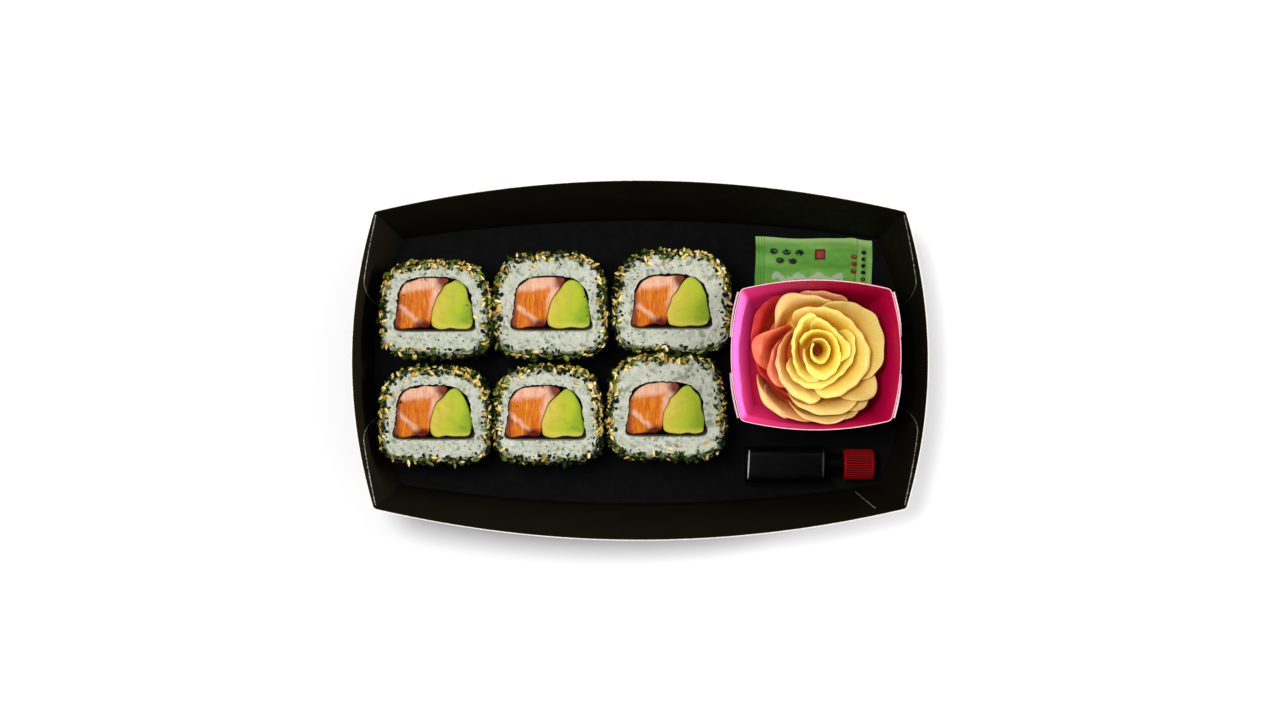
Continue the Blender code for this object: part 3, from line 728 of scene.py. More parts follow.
def rice_loops(sizes, seed):
    """Loops up the outside of a roll, across its face to the hole and down inside it."""
    cx, cy, width, depth, shift_x, shift_y = sizes
    draw = np.random.default_rng(seed)
    outside = rice_outline(ring_angles, width, depth)
    lean = 0.95 * np.clip((np.sin(ring_angles) + 0.62) / 0.3, 0, 1) - 0.5
    hole = filling_outline(ring_angles, NORI_THICKNESS + 0.12) + (shift_x, shift_y)
    lip = filling_outline(ring_angles, NORI_THICKNESS + 0.12 - lean) + (shift_x, shift_y)
    lip += 0.16 * ripple(lip, 2.2, seed + 5)[:, None] * lip / np.linalg.norm(lip, axis=1)[:, None]
    outwards = outside / np.linalg.norm(outside, axis=1)[:, None]
    step = np.linalg.norm(np.roll(outside, -1, axis=0) - outside, axis=1)
    around = np.cumsum(step) - step
    lap = step.sum()

    side_z = np.linspace(0.0, 26.9, 44)
    count = SIDE_GRAINS
    centres = np.column_stack([draw.uniform(0, lap, count), draw.uniform(0, 28, count)])
    long, wide = draw.uniform(2.2, 3.0, count), draw.uniform(0.9, 1.25, count)
    across, up = np.meshgrid(around, side_z)
    side_relief = grain_relief(across, up, lap, centres, draw.uniform(0, np.pi, count), long, wide)
    spot = np.stack(np.broadcast_arrays(outside[None, :, 0], outside[None, :, 1], side_z[:, None]), axis=-1)
    swell = 0.35 * ripple(spot, 9.0, seed + 1) + 0.25 * ripple(spot, 3.2, seed + 6)
    foot = -1.2 * np.clip(1 - side_z / 2.0, 0, 1)[:, None] ** 2
    reach = 0.7 * (side_relief - 0.55) + swell + foot
    side = np.stack([
        outside[None, :, 0] + outwards[None, :, 0] * reach,
        outside[None, :, 1] + outwards[None, :, 1] * reach,
        np.broadcast_to(ROLL_BASE + side_z[:, None], reach.shape),
    ], axis=-1)

    edge = side[-1, :, :2]
    t = np.linspace(0, 1, 40)[:, None, None] ** 1.1
    rim = edge * (1 - 0.5 / 18)
    face = rim[None] * (1 - t) + lip[None] * t
    count = FACE_GRAINS
    centres = np.column_stack([draw.uniform(-22, 22, count), draw.uniform(-20, 20, count)])
    long, wide = draw.uniform(1.2, 2.7, count), draw.uniform(0.75, 1.15, count)
    turns = draw.uniform(0, np.pi, count)
    face_relief = grain_relief(face[..., 0], face[..., 1], NO_LAP, centres, turns, long, wide)
    fall = np.clip(1 - t[..., 0] * 9, 0, 1) ** 2
    z = ROLL_TOP - 0.15 - 0.9 * fall + 0.5 * (face_relief - 0.7) + 0.16 * ripple(face, 6.0, seed + 2)
    z[-1] = np.maximum(z[-1], ROLL_TOP - 0.3)
    top = np.concatenate([face, z[..., None]], axis=-1)
    inner = [flat_loop(lip, ROLL_TOP - 0.5), flat_loop(hole, ROLL_TOP - 0.9)]
    inner += [flat_loop(hole, ROLL_BASE + 0.5), flat_loop(hole * 1.02, ROLL_BASE)]
    loops = np.concatenate([side, top, np.array(inner)])
    # The hole's walls get a low relief, so the painted shade darkens them too.
    relief = np.concatenate([side_relief.ravel(), face_relief.ravel(), np.full(4 * ROUND, 0.3)])
    return loops + np.array([cx, cy, 0.0]), relief


print("each roll has", SIDE_GRAINS, "grains on its side and", FACE_GRAINS, "on its face")

# %% The rice's finish
def rice_material():
    """Moist rice: an even pale grey, with painted shade in the creases, a little greener there, and fine
    specks.
    """
    material, tree, shader = new_material(
        "cooked_rice", 0.45, Subsurface_Weight=0.15, Subsurface_Scale=0.002, Specular_IOR_Level=0.25,
    )
    shader.inputs["Subsurface Radius"].default_value = (1.0, 0.9, 0.7)
    place = object_place(tree)
    relief = attribute(tree, "relief")
    pale = mix(tree, mottled(tree, place, 240.0), srgb(124, 129, 102), srgb(204, 206, 194))
    # Painted shade: where the relief is low, in the creases between grains, the colour darkens to a grey
    # green.
    crease = steps(tree, relief, 0.2, 0.8, 0.4, 1.0)
    body = mix(tree, crease, srgb(94, 102, 72), pale)
    specks = steps(tree, noise(tree, place, 1100.0, 1.0), 0.66, 0.72)
    feed(tree, shader, Base_Color=laid(tree, specks, 0.5, body, srgb(104, 108, 80)))
    feed(tree, shader, Normal=bump(tree, noise(tree, place, 1500.0, 3.0), 0.00012, 0.6))
    feed(tree, shader, Roughness=steps(tree, mottled(tree, place, 500.0), 0.3, 0.7, 0.36, 0.58))
    return material


rice = rice_material()
for number, sizes in enumerate(ROLLS, 1):
    loops, relief = rice_loops(sizes, 100 + 10 * number)
    points, faces = ring_skin(loops)
    piece = new_piece(f"rice_{number}", points, faces, rice, [f"roll_{number}_rice"], "rice", 180.0)
    store(piece, "relief", relief)
    print(piece.name, len(faces), "faces")

# %% [markdown]
# ## Seaweed, salmon and avocado
#
# The seaweed is a dark damp band that shows only as a thin line round the filling. The
# salmon and the avocado are blocks cut across, so each is an outline carried straight up,
# with its top edge rounded over. The outlines are closed Catmull-Rom curves through a few
# points, because the pieces were cut by hand and no formula fits them.

# %% The filling's outlines
SALMON = (
    (-14.1, -6.5), (-8.2, -6.5), (-3.0, -6.3), (-1.8, -4.2), (-1.2, 0.4), (1.2, 5.8),
    (4.6, 10.5), (-1.1, 10.9), (-8.2, 10.1), (-12.3, 6.2), (-13.1, 0.6),
)
AVOCADO = (
    (8.2, 9.8), (5.8, 9.2), (2.2, 5.4), (-0.2, 0.6), (-0.8, -4.6), (0.6, -6.5),
    (6.4, -6.7), (12.2, -6.6), (13.4, -4.6), (12.8, 2.2), (10.8, 7.4),
)


def catmull_rom(before, here, after, beyond, t):
    """A cubic from here to after, with slopes along the lines between their neighbours."""
    slope = after - before
    bend = 2 * before - 5 * here + 4 * after - beyond
    twist = 3 * (here - after) + beyond - before
    return here + 0.5 * t * (slope + t * (bend + t * twist))


def smooth_outline(corners, steps_between):
    """A closed Catmull-Rom curve through a few corners."""
    corners = np.array(corners, float)
    t = (np.arange(steps_between) / steps_between)[None, :, None]
    neighbours = (np.roll(corners, -k, axis=0)[:, None] for k in (-1, 0, 1, 2))
    return catmull_rom(*neighbours, t).reshape(-1, 2)


def outwards_of(outline):
    """1 where the outline runs counter-clockwise, so that inset moves it inwards, else -1."""
    x, y = outline.T
    return np.sign((x * np.roll(y, -1) - np.roll(x, -1) * y).sum())


def block_loops(outline, top, rounding, sag):
    """Loops of a cut block: straight sides, a rounded upper edge and a nearly flat face."""
    turn = np.linspace(0, np.pi / 2, 7)
    loops = [flat_loop(outline, ROLL_BASE), flat_loop(outline, top - rounding - 1.0)]
    for a in turn:
        ring = inset(outline, outwards_of(outline) * rounding * (1 - math.cos(a)))
        loops.append(flat_loop(ring, top - rounding * (1 - math.sin(a))))
    middle = outline.mean(axis=0)
    edge = loops[-1][:, :2]
    for s in np.linspace(0.96, 0.04, 26):
        ring = middle + (edge - middle) * s
        height = top + sag * (1 - s**2) + 0.04 * ripple(ring, 2.6, 5) + 0.1 * ripple(ring, 7.0, 6)
        loops.append(flat_loop(ring, height))
    return np.array(loops)


for kind, corners in (("salmon", SALMON), ("avocado", AVOCADO)):
    print(kind, "is", np.ptp(smooth_outline(corners, 22), axis=0).round(1), "mm across")

# %% [markdown]
# Salmon shows how it grew: orange muscle in fine, slightly slanting flakes, and bands of
# pale fat between the muscles. Here a band of fat lies along the top and thins out down
# the right side, and another crosses below the middle. The lower right corner and a wedge
# at the top right are dark. The bands are distances to lines in the piece's own plane, and
# the place is shaken by noise first, so that no border runs straight.

# %% The salmon's finish
def plane_axes(tree, shake, size):
    """The place in millimetres, and two coordinates in the roll's plane, shaken by noise.

    The noise reads the place in the tray, so that it differs from roll to roll.
    """
    plane = node(tree, "ShaderNodeUVMap", uv_map="roll").outputs[0]
    spot = stretched(tree, object_place(tree), (1000.0, 1000.0, 1000.0))
    cloud = node(tree, "ShaderNodeTexNoise", {"Vector": spot, "Scale": 1 / size, "Detail": 3.0})
    kind = "ShaderNodeVectorMath"
    centred = node(tree, kind, {0: cloud.outputs[1], 1: (0.5, 0.5, 0.5)}, operation="SUBTRACT")
    moved = node(tree, kind, {0: centred.outputs[0], "Scale": shake}, operation="SCALE")
    place = node(tree, kind, {0: plane, 1: moved.outputs[0]}, operation="ADD")
    parts = node(tree, "ShaderNodeSeparateXYZ", {0: place.outputs[0]})
    return spot, parts.outputs[0], parts.outputs[1]


def line_distance(tree, x, y, start, end):
    """Signed distance from the line through two points, positive on the line's left."""
    run_x, run_y = end[0] - start[0], end[1] - start[1]
    length = math.hypot(run_x, run_y)
    part_x = maths(tree, "MULTIPLY", maths(tree, "SUBTRACT", x, start[0]), -run_y / length)
    part_y = maths(tree, "MULTIPLY", maths(tree, "SUBTRACT", y, start[1]), run_x / length)
    return maths(tree, "ADD", part_x, part_y)


def spot_mask(tree, x, y, centre, radii, soft):
    """1 in the middle of an ellipse, falling to 0 over the soft share of its radius."""
    u = maths(tree, "DIVIDE", maths(tree, "SUBTRACT", x, centre[0]), radii[0])
    w = maths(tree, "DIVIDE", maths(tree, "SUBTRACT", y, centre[1]), radii[1])
    square = maths(tree, "ADD", maths(tree, "MULTIPLY", u, u), maths(tree, "MULTIPLY", w, w))
    return steps(tree, maths(tree, "SQRT", square), 1 - soft, 1 + soft, 1.0, 0.0)


def salmon_material():
    """Raw salmon: orange flakes, pale fat bands and dark corners, all wet."""
    material, tree, shader = new_material(
        "raw_salmon", 0.3, Subsurface_Weight=0.05, Subsurface_Scale=0.001, Specular_IOR_Level=0.05,
    )
    shader.inputs["Subsurface Radius"].default_value = (1.0, 0.45, 0.25)
    spot, x, y = plane_axes(tree, 2.4, 2.6)
    streak_place = stretched(tree, spot, (1.9, 0.22, 0.4), (0.0, 0.0, math.radians(-12.0)))
    streaks = noise(tree, streak_place, 1.0, 4.0, 0.6)
    orange = ramp(tree, streaks, (
        (0.32, srgb(164, 66, 0)), (0.46, srgb(182, 90, 4)),
        (0.58, srgb(194, 108, 12)), (0.7, srgb(202, 132, 50)),
    ))
    top_fat = steps(tree, line_distance(tree, x, y, (-13.0, 5.9), (3.0, 7.6)), -1.1, 1.3)
    right = line_distance(tree, x, y, (-1.6, -5.0), (1.0, 7.0))
    right_fat = maths(tree, "MULTIPLY", steps(tree, right, 2.6, 0.4), steps(tree, y, -5.0, 5.0))
    slant = maths(tree, "ABSOLUTE", line_distance(tree, x, y, (-12.0, 0.4), (-5.4, -4.9)))
    slant_band = steps(tree, slant, 0.2, 1.5, 0.85, 0.0)
    slant_fat = maths(tree, "MULTIPLY", slant_band, steps(tree, x, -3.4, -6.0))
    fat = maths(tree, "MAXIMUM", maths(tree, "MAXIMUM", top_fat, right_fat), slant_fat)
    fat_tone = mix(tree, streaks, srgb(178, 102, 60), srgb(234, 206, 184))
    flesh = laid(tree, fat, 0.85, orange, fat_tone)
    corner = spot_mask(tree, x, y, (-4.0, -6.8), (3.6, 2.6), 0.5)
    flesh = mix(tree, corner, flesh, srgb(84, 20, 10))
    wedge = spot_mask(tree, x, y, (4.4, 10.2), (3.4, 3.4), 0.45)
    flesh = mix(tree, wedge, flesh, mix(tree, streaks, srgb(70, 20, 12), srgb(132, 62, 42)))
    left_skin = steps(tree, x, -11.4, -13.2)
    flesh = laid(tree, left_skin, 0.85, flesh, srgb(104, 34, 14))
    feed(tree, shader, Base_Color=flesh)
    grooves = maths(tree, "ADD", streaks, maths(tree, "MULTIPLY", fat, 0.4))
    feed(tree, shader, Normal=bump(tree, grooves, 0.00025, 0.6))
    feed(tree, shader, Roughness=steps(tree, streaks, 0.3, 0.7, 0.26, 0.42))
    return material


salmon = salmon_material()
print(salmon.name, "with", len(salmon.node_tree.nodes), "nodes")

# %% [markdown]
# Ripe avocado is butter yellow near the stone and green near the skin. The wedge here has
# its stone side to the left and below, so its colour runs from yellow at the lower left to
# green at the upper right, with a narrow darker rim on the skin side.

# %% The avocado's finish
def avocado_material():
    """Cut avocado: yellow to green across the wedge, smooth, with a few faint smears."""
    material, tree, shader = new_material(
        "cut_avocado", 0.42, Subsurface_Weight=0.08, Subsurface_Scale=0.0015, Specular_IOR_Level=0.1,
    )
    shader.inputs["Subsurface Radius"].default_value = (0.8, 1.0, 0.3)
    spot, x, y = plane_axes(tree, 2.2, 5.0)
    across = line_distance(tree, x, y, (-0.9, -5.0), (4.6, 9.0))
    flesh = ramp(tree, steps(tree, across, 0.6, -11.5), (
        (0.0, srgb(188, 168, 58)), (0.1, srgb(174, 165, 44)), (0.4, srgb(162, 165, 36)),
        (0.75, srgb(150, 164, 32)), (1.0, srgb(120, 144, 20)),
    ))
    top = steps(tree, y, 3.0, 9.5)
    flesh = laid(tree, top, 0.55, flesh, srgb(140, 164, 30))
    low = steps(tree, y, -4.4, -6.6)
    flesh = laid(tree, low, 0.6, flesh, srgb(190, 178, 70))
    smear = noise(tree, stretched(tree, spot, (0.5, 0.25, 1.0), (0.0, 0.0, 0.4)), 1.0, 3.0)
    flesh = laid(tree, steps(tree, smear, 0.5, 0.75), 0.2, flesh, srgb(146, 160, 36))
    feed(tree, shader, Base_Color=flesh)
    feed(tree, shader, Normal=bump(tree, smear, 0.0001, 0.15))
    feed(tree, shader, Roughness=steps(tree, smear, 0.3, 0.7, 0.36, 0.5))
    return material


avocado = avocado_material()
print(avocado.name, "with", len(avocado.node_tree.nodes), "nodes")

# %% [markdown]
# Seaweed is dark green to black and slightly glossy where it is wet. Its band is a closed
# ring of four walls, with a small ripple so that its line round the filling isn't even.
# The salmon and the avocado press against it, so their outlines are grown a little and
# made uneven, differently in each roll.

# %% The seaweed's finish, and all three placed
def nori_material():
    """Damp seaweed: near black with brown and green flecks and a broken gloss."""
    material, tree, shader = new_material("damp_seaweed", 0.5, Specular_IOR_Level=0.1)
    place = object_place(tree)
    flecks = noise(tree, place, 900.0, 4.0, 0.7)
    tone = ramp(tree, flecks, ((0.35, srgb(12, 8, 6)), (0.7, srgb(48, 32, 22))))
    feed(tree, shader, Base_Color=tone)
    feed(tree, shader, Normal=bump(tree, flecks, 0.0002, 0.6))
    feed(tree, shader, Roughness=steps(tree, flecks, 0.3, 0.7, 0.35, 0.65))
    return material


def nori_loops(shift):
    """Loops of the seaweed band: up its outside, over its thin top and down its inside."""
    outer = filling_outline(ring_angles, NORI_THICKNESS + 0.1)
    inner = filling_outline(ring_angles, 0.0)
    top = ROLL_TOP - 0.62 + 0.1 * ripple(outer, 4.0, 12)
    rows = [
        flat_loop(outer, ROLL_BASE),
        flat_loop(outer, top - 0.15),
        flat_loop(outer * 0.8 + inner * 0.2, top),
        flat_loop(inner * 0.85 + outer * 0.15, top),
        flat_loop(inner, top - 0.2),
        flat_loop(inner, ROLL_BASE),
    ]
    return np.array(rows) + np.array([*shift, 0.0])


FILLING_GROWTH = 0.4
FILLING_WAVE = 0.3
# For each block: its name, corners, depth below the roll's top, rounding, sag and finish.
BLOCKS = (
    ("salmon", SALMON, 0.55, 0.6, 0.25, salmon),
    ("avocado", AVOCADO, 0.35, 0.5, 0.3, avocado),
)
nori = nori_material()
for number, (cx, cy, width, depth, shift_x, shift_y) in enumerate(ROLLS, 1):
    shift = (cx + shift_x, cy + shift_y)
    points, faces = ring_skin(nori_loops(shift))
    new_piece(f"seaweed_{number}", points, faces, nori, [f"roll_{number}_nori"], "seaweed", 60.0)
    for kind, corners, drop, rounding, sag, finish in BLOCKS:
        outline = smooth_outline(corners, 22)
        outline = inset(outline, -FILLING_GROWTH * outwards_of(outline))
        wave = [ripple(outline, 7.0, seed + number) for seed in (60, 70)]
        outline += FILLING_WAVE * np.column_stack(wave)
        points, faces = skin(block_loops(outline, ROLL_TOP - drop - sag, rounding, sag))
        placed = points + np.array([*shift, 0.0])
        piece = new_piece(f"{kind}_{number}", placed, faces, finish, [f"roll_{number}_{kind}"], kind, 180.0)
        store_uv(piece, "roll", points[:, :2])
print("fillings placed in", len(ROLLS), "rolls")

# %% [markdown]
# ## Sesame seeds and herb flakes
#
# The outside of every roll was rolled in toasted sesame and flakes of seaweed and herb.
# There are thousands, so one seed of a few dozen faces is worked out once, and copies of
# its points are turned, stretched and moved all together by one product of arrays. They
# lie in clumps on the roll's side, crowd at its upper edge and spill over the rim of the
# cut face, where they show from above. Fewer lie on the side towards the tray's front, as
# in the photo, and a few small flecks lie on the face itself.

# %% Many copies of one small shape
def scatter(points, faces, turns, places):
    """Copies of a shape: every point times every turn matrix, plus that copy's place."""
    copies = np.einsum("kij,kpj->kpi", turns, points) + places[:, None, :]
    offset = (np.arange(len(places)) * points.shape[1])[:, None, None]
    corners = np.asarray(faces)[None] + offset
    return copies.reshape(-1, 3), corners.reshape(-1, corners.shape[-1]).tolist()


def frames_from(outwards, spin, tilt):
    """Turn matrices whose third axis points outwards, spun round it and then tipped a little."""
    up = np.array([0.0, 0.0, 1.0])
    third = outwards / np.linalg.norm(outwards, axis=1)[:, None]
    flat = np.abs(third[:, 2]) > 0.9
    guide = np.where(flat[:, None], np.array([1.0, 0.0, 0.0]), up)
    first = np.cross(guide, third)
    first /= np.linalg.norm(first, axis=1)[:, None]
    second = np.cross(third, first)
    along = first * np.cos(spin)[:, None] + second * np.sin(spin)[:, None]
    aside = second * np.cos(spin)[:, None] - first * np.sin(spin)[:, None]
    lifted = along * np.cos(tilt)[:, None] + third * np.sin(tilt)[:, None]
    normal = np.cross(lifted, aside)
    return np.stack([lifted, aside, normal], axis=-1)


def seed_shape():
    """A sesame seed: a flat drop, its half width sin(pi t) ** 0.7 * (1.15 - 0.55 t) along t."""
    sides = 6
    t = np.array([0.05, 0.22, 0.5, 0.78, 0.95])[:, None]
    turn = full_turn(sides)[None, :]
    radius = np.sin(np.pi * t) ** 0.7 * (1.15 - 0.55 * t)
    y, z = radius * np.cos(turn), radius * np.sin(turn)
    loops = np.stack(np.broadcast_arrays(t * 2 - 1, y, z), axis=-1)
    quads = grid_faces(5, sides, True)
    triangles = np.concatenate([quads[:, [0, 1, 2]], quads[:, [0, 2, 3]]])
    ring = np.arange(sides)
    last = 4 * sides
    hubs = np.array([[-1.0, 0.0, 0.0], [1.0, 0.0, 0.0]])
    first_fan = np.stack([np.full(sides, 5 * sides), np.roll(ring, -1), ring], axis=-1)
    onward = last + np.roll(ring, -1)
    last_fan = np.stack([np.full(sides, 5 * sides + 1), last + ring, onward], axis=-1)
    faces = np.concatenate([triangles, first_fan, last_fan])
    return np.vstack([loops.reshape(-1, 3), hubs]), faces


def flake_shape():
    """A torn flake: a thin plate of three by four points with an uneven border."""
    x = np.array([-1.0, -0.35, 0.4, 1.0])[:, None]
    y = np.array([-1.0, 0.0, 1.0])[None, :]
    pinch = np.array([0.45, 1.0, 0.8, 0.35])[:, None]
    front = np.stack(np.broadcast_arrays(x, y * pinch, 0.5 + 0 * x), axis=-1)
    points, faces = thin_sheet(front, front * np.array([1.0, 1.0, -1.0]))
    return points, np.array(faces)


print("a seed has", len(seed_shape()[1]), "faces and a flake", len(flake_shape()[1]))

# %% Where the toppings lie
WALL_LEAN = 0.1
WALL_GAP = 2.6


def inside_other(places, own):
    """True where a place lies within another roll's outline or too near the tray's wall."""
    hit = np.zeros(len(places), bool)
    for number, (cx, cy, width, depth, *_) in enumerate(ROLLS):
        if number == own:
            continue
        gap = places[:, :2] - (cx, cy)
        angle = np.arctan2(gap[:, 1], gap[:, 0])
        edge = np.linalg.norm(rice_outline(angle, width, depth), axis=1)
        hit |= np.hypot(gap[:, 0], gap[:, 1]) < edge + 0.15
    (half_length, half_width), (bow, _), _ = TRAY_FLOOR
    floor_end = half_length + bow - bow * (places[:, 1] / half_width) ** 2
    wall = floor_end + WALL_LEAN * places[:, 2] - WALL_GAP
    return hit | (np.abs(places[:, 0]) > wall)


def side_spots(number, count, crowd, below, draw):
    """Places on a roll's side and their outward directions.

    Crowd pushes them to the top, and below is the share kept on the side that faces the
    tray's front.
    """
    cx, cy, width, depth, *_ = ROLLS[number]
    angle = draw.uniform(0, 2 * np.pi, count * 4)
    z = ROLL_BASE + 27.6 * (1 - draw.uniform(0, 1, count * 4) ** crowd * 0.9)
    outline = rice_outline(angle, width, depth)
    along = rice_outline(angle + 0.01, width, depth) - outline
    outwards = np.column_stack([along[:, 1], -along[:, 0], np.zeros(len(along))])
    outwards /= np.linalg.norm(outwards, axis=1)[:, None]
    places = np.column_stack([outline + (cx, cy), z])
    clumps = 0.45 + 0.5 * ripple(places, 9.0, number + 3) + 0.4 * ripple(places, 3.0, number + 31)
    share = np.where(np.sin(angle) < -0.45, below, 1.0)
    free = ~inside_other(places + outwards * 1.3, number)
    keep = (draw.uniform(0, 1, len(places)) < (0.15 + clumps) * share) & free
    chosen = np.flatnonzero(keep)[:count]
    return places[chosen], outwards[chosen]


def face_spots(number, count, reach, crowd, below, draw):
    """Places on a roll's cut face, from its rim inwards to reach, facing up and outwards.

    Crowd pushes them to the rim, and below is the share kept towards the tray's front.
    """
    cx, cy, width, depth, *_ = ROLLS[number]
    angle = draw.uniform(0, 2 * np.pi, count * 2)
    share = np.where(np.sin(angle) < -0.45, below, 1.0)
    angle = angle[draw.uniform(0, 1, len(angle)) < share][:count]
    count = len(angle)
    outline = rice_outline(angle, width, depth)
    radial = outline / np.linalg.norm(outline, axis=1)[:, None]
    inward = 0.3 + reach * draw.uniform(0, 1, count) ** crowd
    z = ROLL_TOP - 0.15 - 0.8 * np.clip(1 - inward / 0.9, 0, 1) ** 2
    places = np.column_stack([outline - radial * inward[:, None] + (cx, cy), z])
    outwards = np.column_stack([radial * np.clip(0.9 - inward / 1.5, 0, 1)[:, None], 0.4 + inward])
    return places, outwards / np.linalg.norm(outwards, axis=1)[:, None]


def topping(places, outwards, sizes, thickness, lift, lean, draw):
    """Turns, places, tones and half sizes of copies that stand out of a surface by lift."""
    count = len(places)
    rear = draw.uniform(*lean, count)[:, None] * (np.abs(outwards[:, 2:]) < 0.1)
    facing = outwards * np.cos(rear) + np.array([0.0, 0.0, 1.0]) * np.sin(rear)
    turns = frames_from(facing, draw.uniform(0, np.pi, count), draw.normal(0, 0.35, count))
    half = np.column_stack([draw.uniform(*span, count) for span in (*sizes, thickness)])
    lifted = places + outwards * draw.uniform(*lift, count)[:, None]
    return turns, lifted, draw.uniform(0, 1, count), half


def scattered_piece(name, shape, groups, material, slot, curl=0.0):
    """One mesh of all the copies in the groups, each bent by curl, with its tone stored."""
    turns, places, tones, halves = (np.concatenate(parts) for parts in zip(*groups))
    copies = shape[0][None] * halves[:, None, :]
    bends = np.random.default_rng(7).uniform(-curl, curl, (2, len(halves), 1))
    copies[..., 2] += bends[0] * copies[..., 0] ** 2 + bends[1] * copies[..., 0] * copies[..., 1]
    points, faces = scatter(copies, shape[1], turns, places)
    piece = new_piece(name, points, faces, material, [], slot, 180.0)
    store(piece, "tone", np.repeat(tones, shape[0].shape[0]))
    return piece

# %% The toppings' finishes
def seed_material():
    """Toasted sesame: straw to gold, with a few brown ones."""
    material, tree, shader = new_material("toasted_sesame", 0.45, Specular_IOR_Level=0.2)
    place = object_place(tree)
    body = ramp(tree, attribute(tree, "tone"), (
        (0.0, srgb(134, 100, 34)), (0.15, srgb(184, 150, 62)),
        (0.5, srgb(210, 180, 92)), (1.0, srgb(232, 214, 150)),
    ))
    cloud = mottled(tree, place, 700.0)
    feed(tree, shader, Base_Color=laid(tree, cloud, 0.2, body, srgb(170, 122, 56)))
    feed(tree, shader, Normal=bump(tree, noise(tree, place, 2600.0, 2.0), 0.00006, 0.5))
    return material


def flake_material():
    """Dried herb and seaweed: black-green to leaf green, matt."""
    material, tree, shader = new_material("herb_flakes", 0.62, Specular_IOR_Level=0.08)
    place = object_place(tree)
    body = ramp(tree, attribute(tree, "tone"), (
        (0.0, srgb(8, 12, 6)), (0.45, srgb(20, 30, 8)), (0.68, srgb(52, 68, 16)),
        (0.88, srgb(104, 120, 36)), (1.0, srgb(160, 166, 72)),
    ))
    shade = mix(tree, 1.0, body, srgb(190, 200, 160), "MULTIPLY")
    feed(tree, shader, Base_Color=mix(tree, mottled(tree, place, 500.0), body, shade))
    feed(tree, shader, Normal=bump(tree, noise(tree, place, 1800.0, 3.0), 0.0001, 0.6))
    return material


seed_finish, flake_finish = seed_material(), flake_material()
print(seed_finish.name, "and", flake_finish.name)

# %% Seeds and flakes placed
SEED = ((1.15, 1.5), (0.62, 0.82))
LARGE_FLAKE = ((0.7, 1.8), (0.45, 1.05))
RIM_FLAKE = ((0.5, 1.3), (0.3, 0.75))
FLECK = ((0.2, 0.55), (0.12, 0.3))
UPRIGHT = (0.0, 0.0)
FLAKE_CURL = 0.35
# For each batch on a roll: what and where, the numbers for its spots, then the ranges of
# half length and half width, half thickness, lift off the surface and lean.
BATCHES = (
    ("seed", side_spots, (225, 2.2, 0.25), SEED, (0.4, 0.5), (0.1, 1.05), (-0.2, 1.4)),
    ("seed", face_spots, (26, 1.5, 1.0, 0.3), SEED, (0.4, 0.5), (0.0, 0.3), UPRIGHT),
    ("seed", face_spots, (3, 5.0, 0.8, 1.0), SEED, (0.3, 0.4), (0.0, 0.1), UPRIGHT),
    ("flake", side_spots, (530, 2.0, 0.5), LARGE_FLAKE, (0.1, 0.16), (0.1, 1.2), (-0.3, 1.4)),
    ("flake", face_spots, (150, 2.0, 1.5, 0.6), RIM_FLAKE, (0.08, 0.14), (0.0, 0.3), UPRIGHT),
    ("flake", face_spots, (40, 7.0, 0.9, 1.0), FLECK, (0.06, 0.1), (0.02, 0.12), UPRIGHT),
)
groups = {"seed": [], "flake": []}
for number in range(len(ROLLS)):
    draw = np.random.default_rng(300 + number)
    for kind, find_spots, numbers, *looks in BATCHES:
        spots = find_spots(number, *numbers, draw)
        groups[kind].append(topping(*spots, *looks, draw))

seeds = scattered_piece("sesame_seeds", seed_shape(), groups["seed"], seed_finish, "rice")
flakes = scattered_piece("herb_flakes", flake_shape(), groups["flake"], flake_finish, "rice", FLAKE_CURL)
print("seeds", len(seeds.data.polygons), "flakes", len(flakes.data.polygons))

# %% [markdown]
# ## The ginger pot
#
# The pot is a small tray of the same make, in magenta board. The same formula draws it
# from its own sizes. The upper part of its left wall, and a little of the rest towards the
# left, gets a paler lilac colour: a painted sheen, where the side light falls on the coating
# at a low angle. A little emission on the inside of its left half is painted light, which
# brightens those walls.

# %% The pot
POT_CENTRE = (63.6, 1.9)
POT_BASE = 0.9
POT_HEIGHT = 36.0
POT_BOARD = 0.5
POT_RIM = ((27.2, 23.8), (3.6, 3.4), 1.4)
POT_FLOOR = ((21.0, 18.2), (2.3, 2.1), 1.0)
SEEP_STRENGTH = 0.36
NO_LIGHT = (0.0, 0.0, 0.0, 1.0)

magenta = (srgb(180, 0, 62), srgb(200, 4, 78))
# Paler lilac colours: the painted sheen on the left wall.
magenta_glow = (srgb(246, 112, 200), srgb(252, 130, 210))
pot_board = board_material("pink_board", magenta, magenta_glow, srgb(248, 214, 226), 0.5, 0.1)
pot_tree = pot_board.node_tree
pot_shader = pot_tree.nodes["Principled BSDF"]
# Emission on the inside of the left half is painted light. The board is no lamp.
pot_shader.inputs["Emission Strength"].default_value = SEEP_STRENGTH
seep = mix(pot_tree, attribute(pot_tree, "wall"), srgb(214, 0, 84), srgb(252, 84, 176))
seep = mix(pot_tree, attribute(pot_tree, "lit"), NO_LIGHT, seep)
feed(pot_tree, pot_shader, Emission_Color=seep)
pot_loops, pot_raw, pot_rise = board_box(POT_RIM, POT_FLOOR, POT_BASE, POT_HEIGHT, POT_BOARD, 10)
pot_points, pot_faces = skin(pot_loops)
placed = pot_points + (*POT_CENTRE, 0.0)
pot = new_piece("ginger_pot_board", placed, pot_faces, pot_board, ["ginger_pot"], "pink_board")
store(pot, "cut", np.append(pot_raw.ravel(), [0.0, 0.0]))
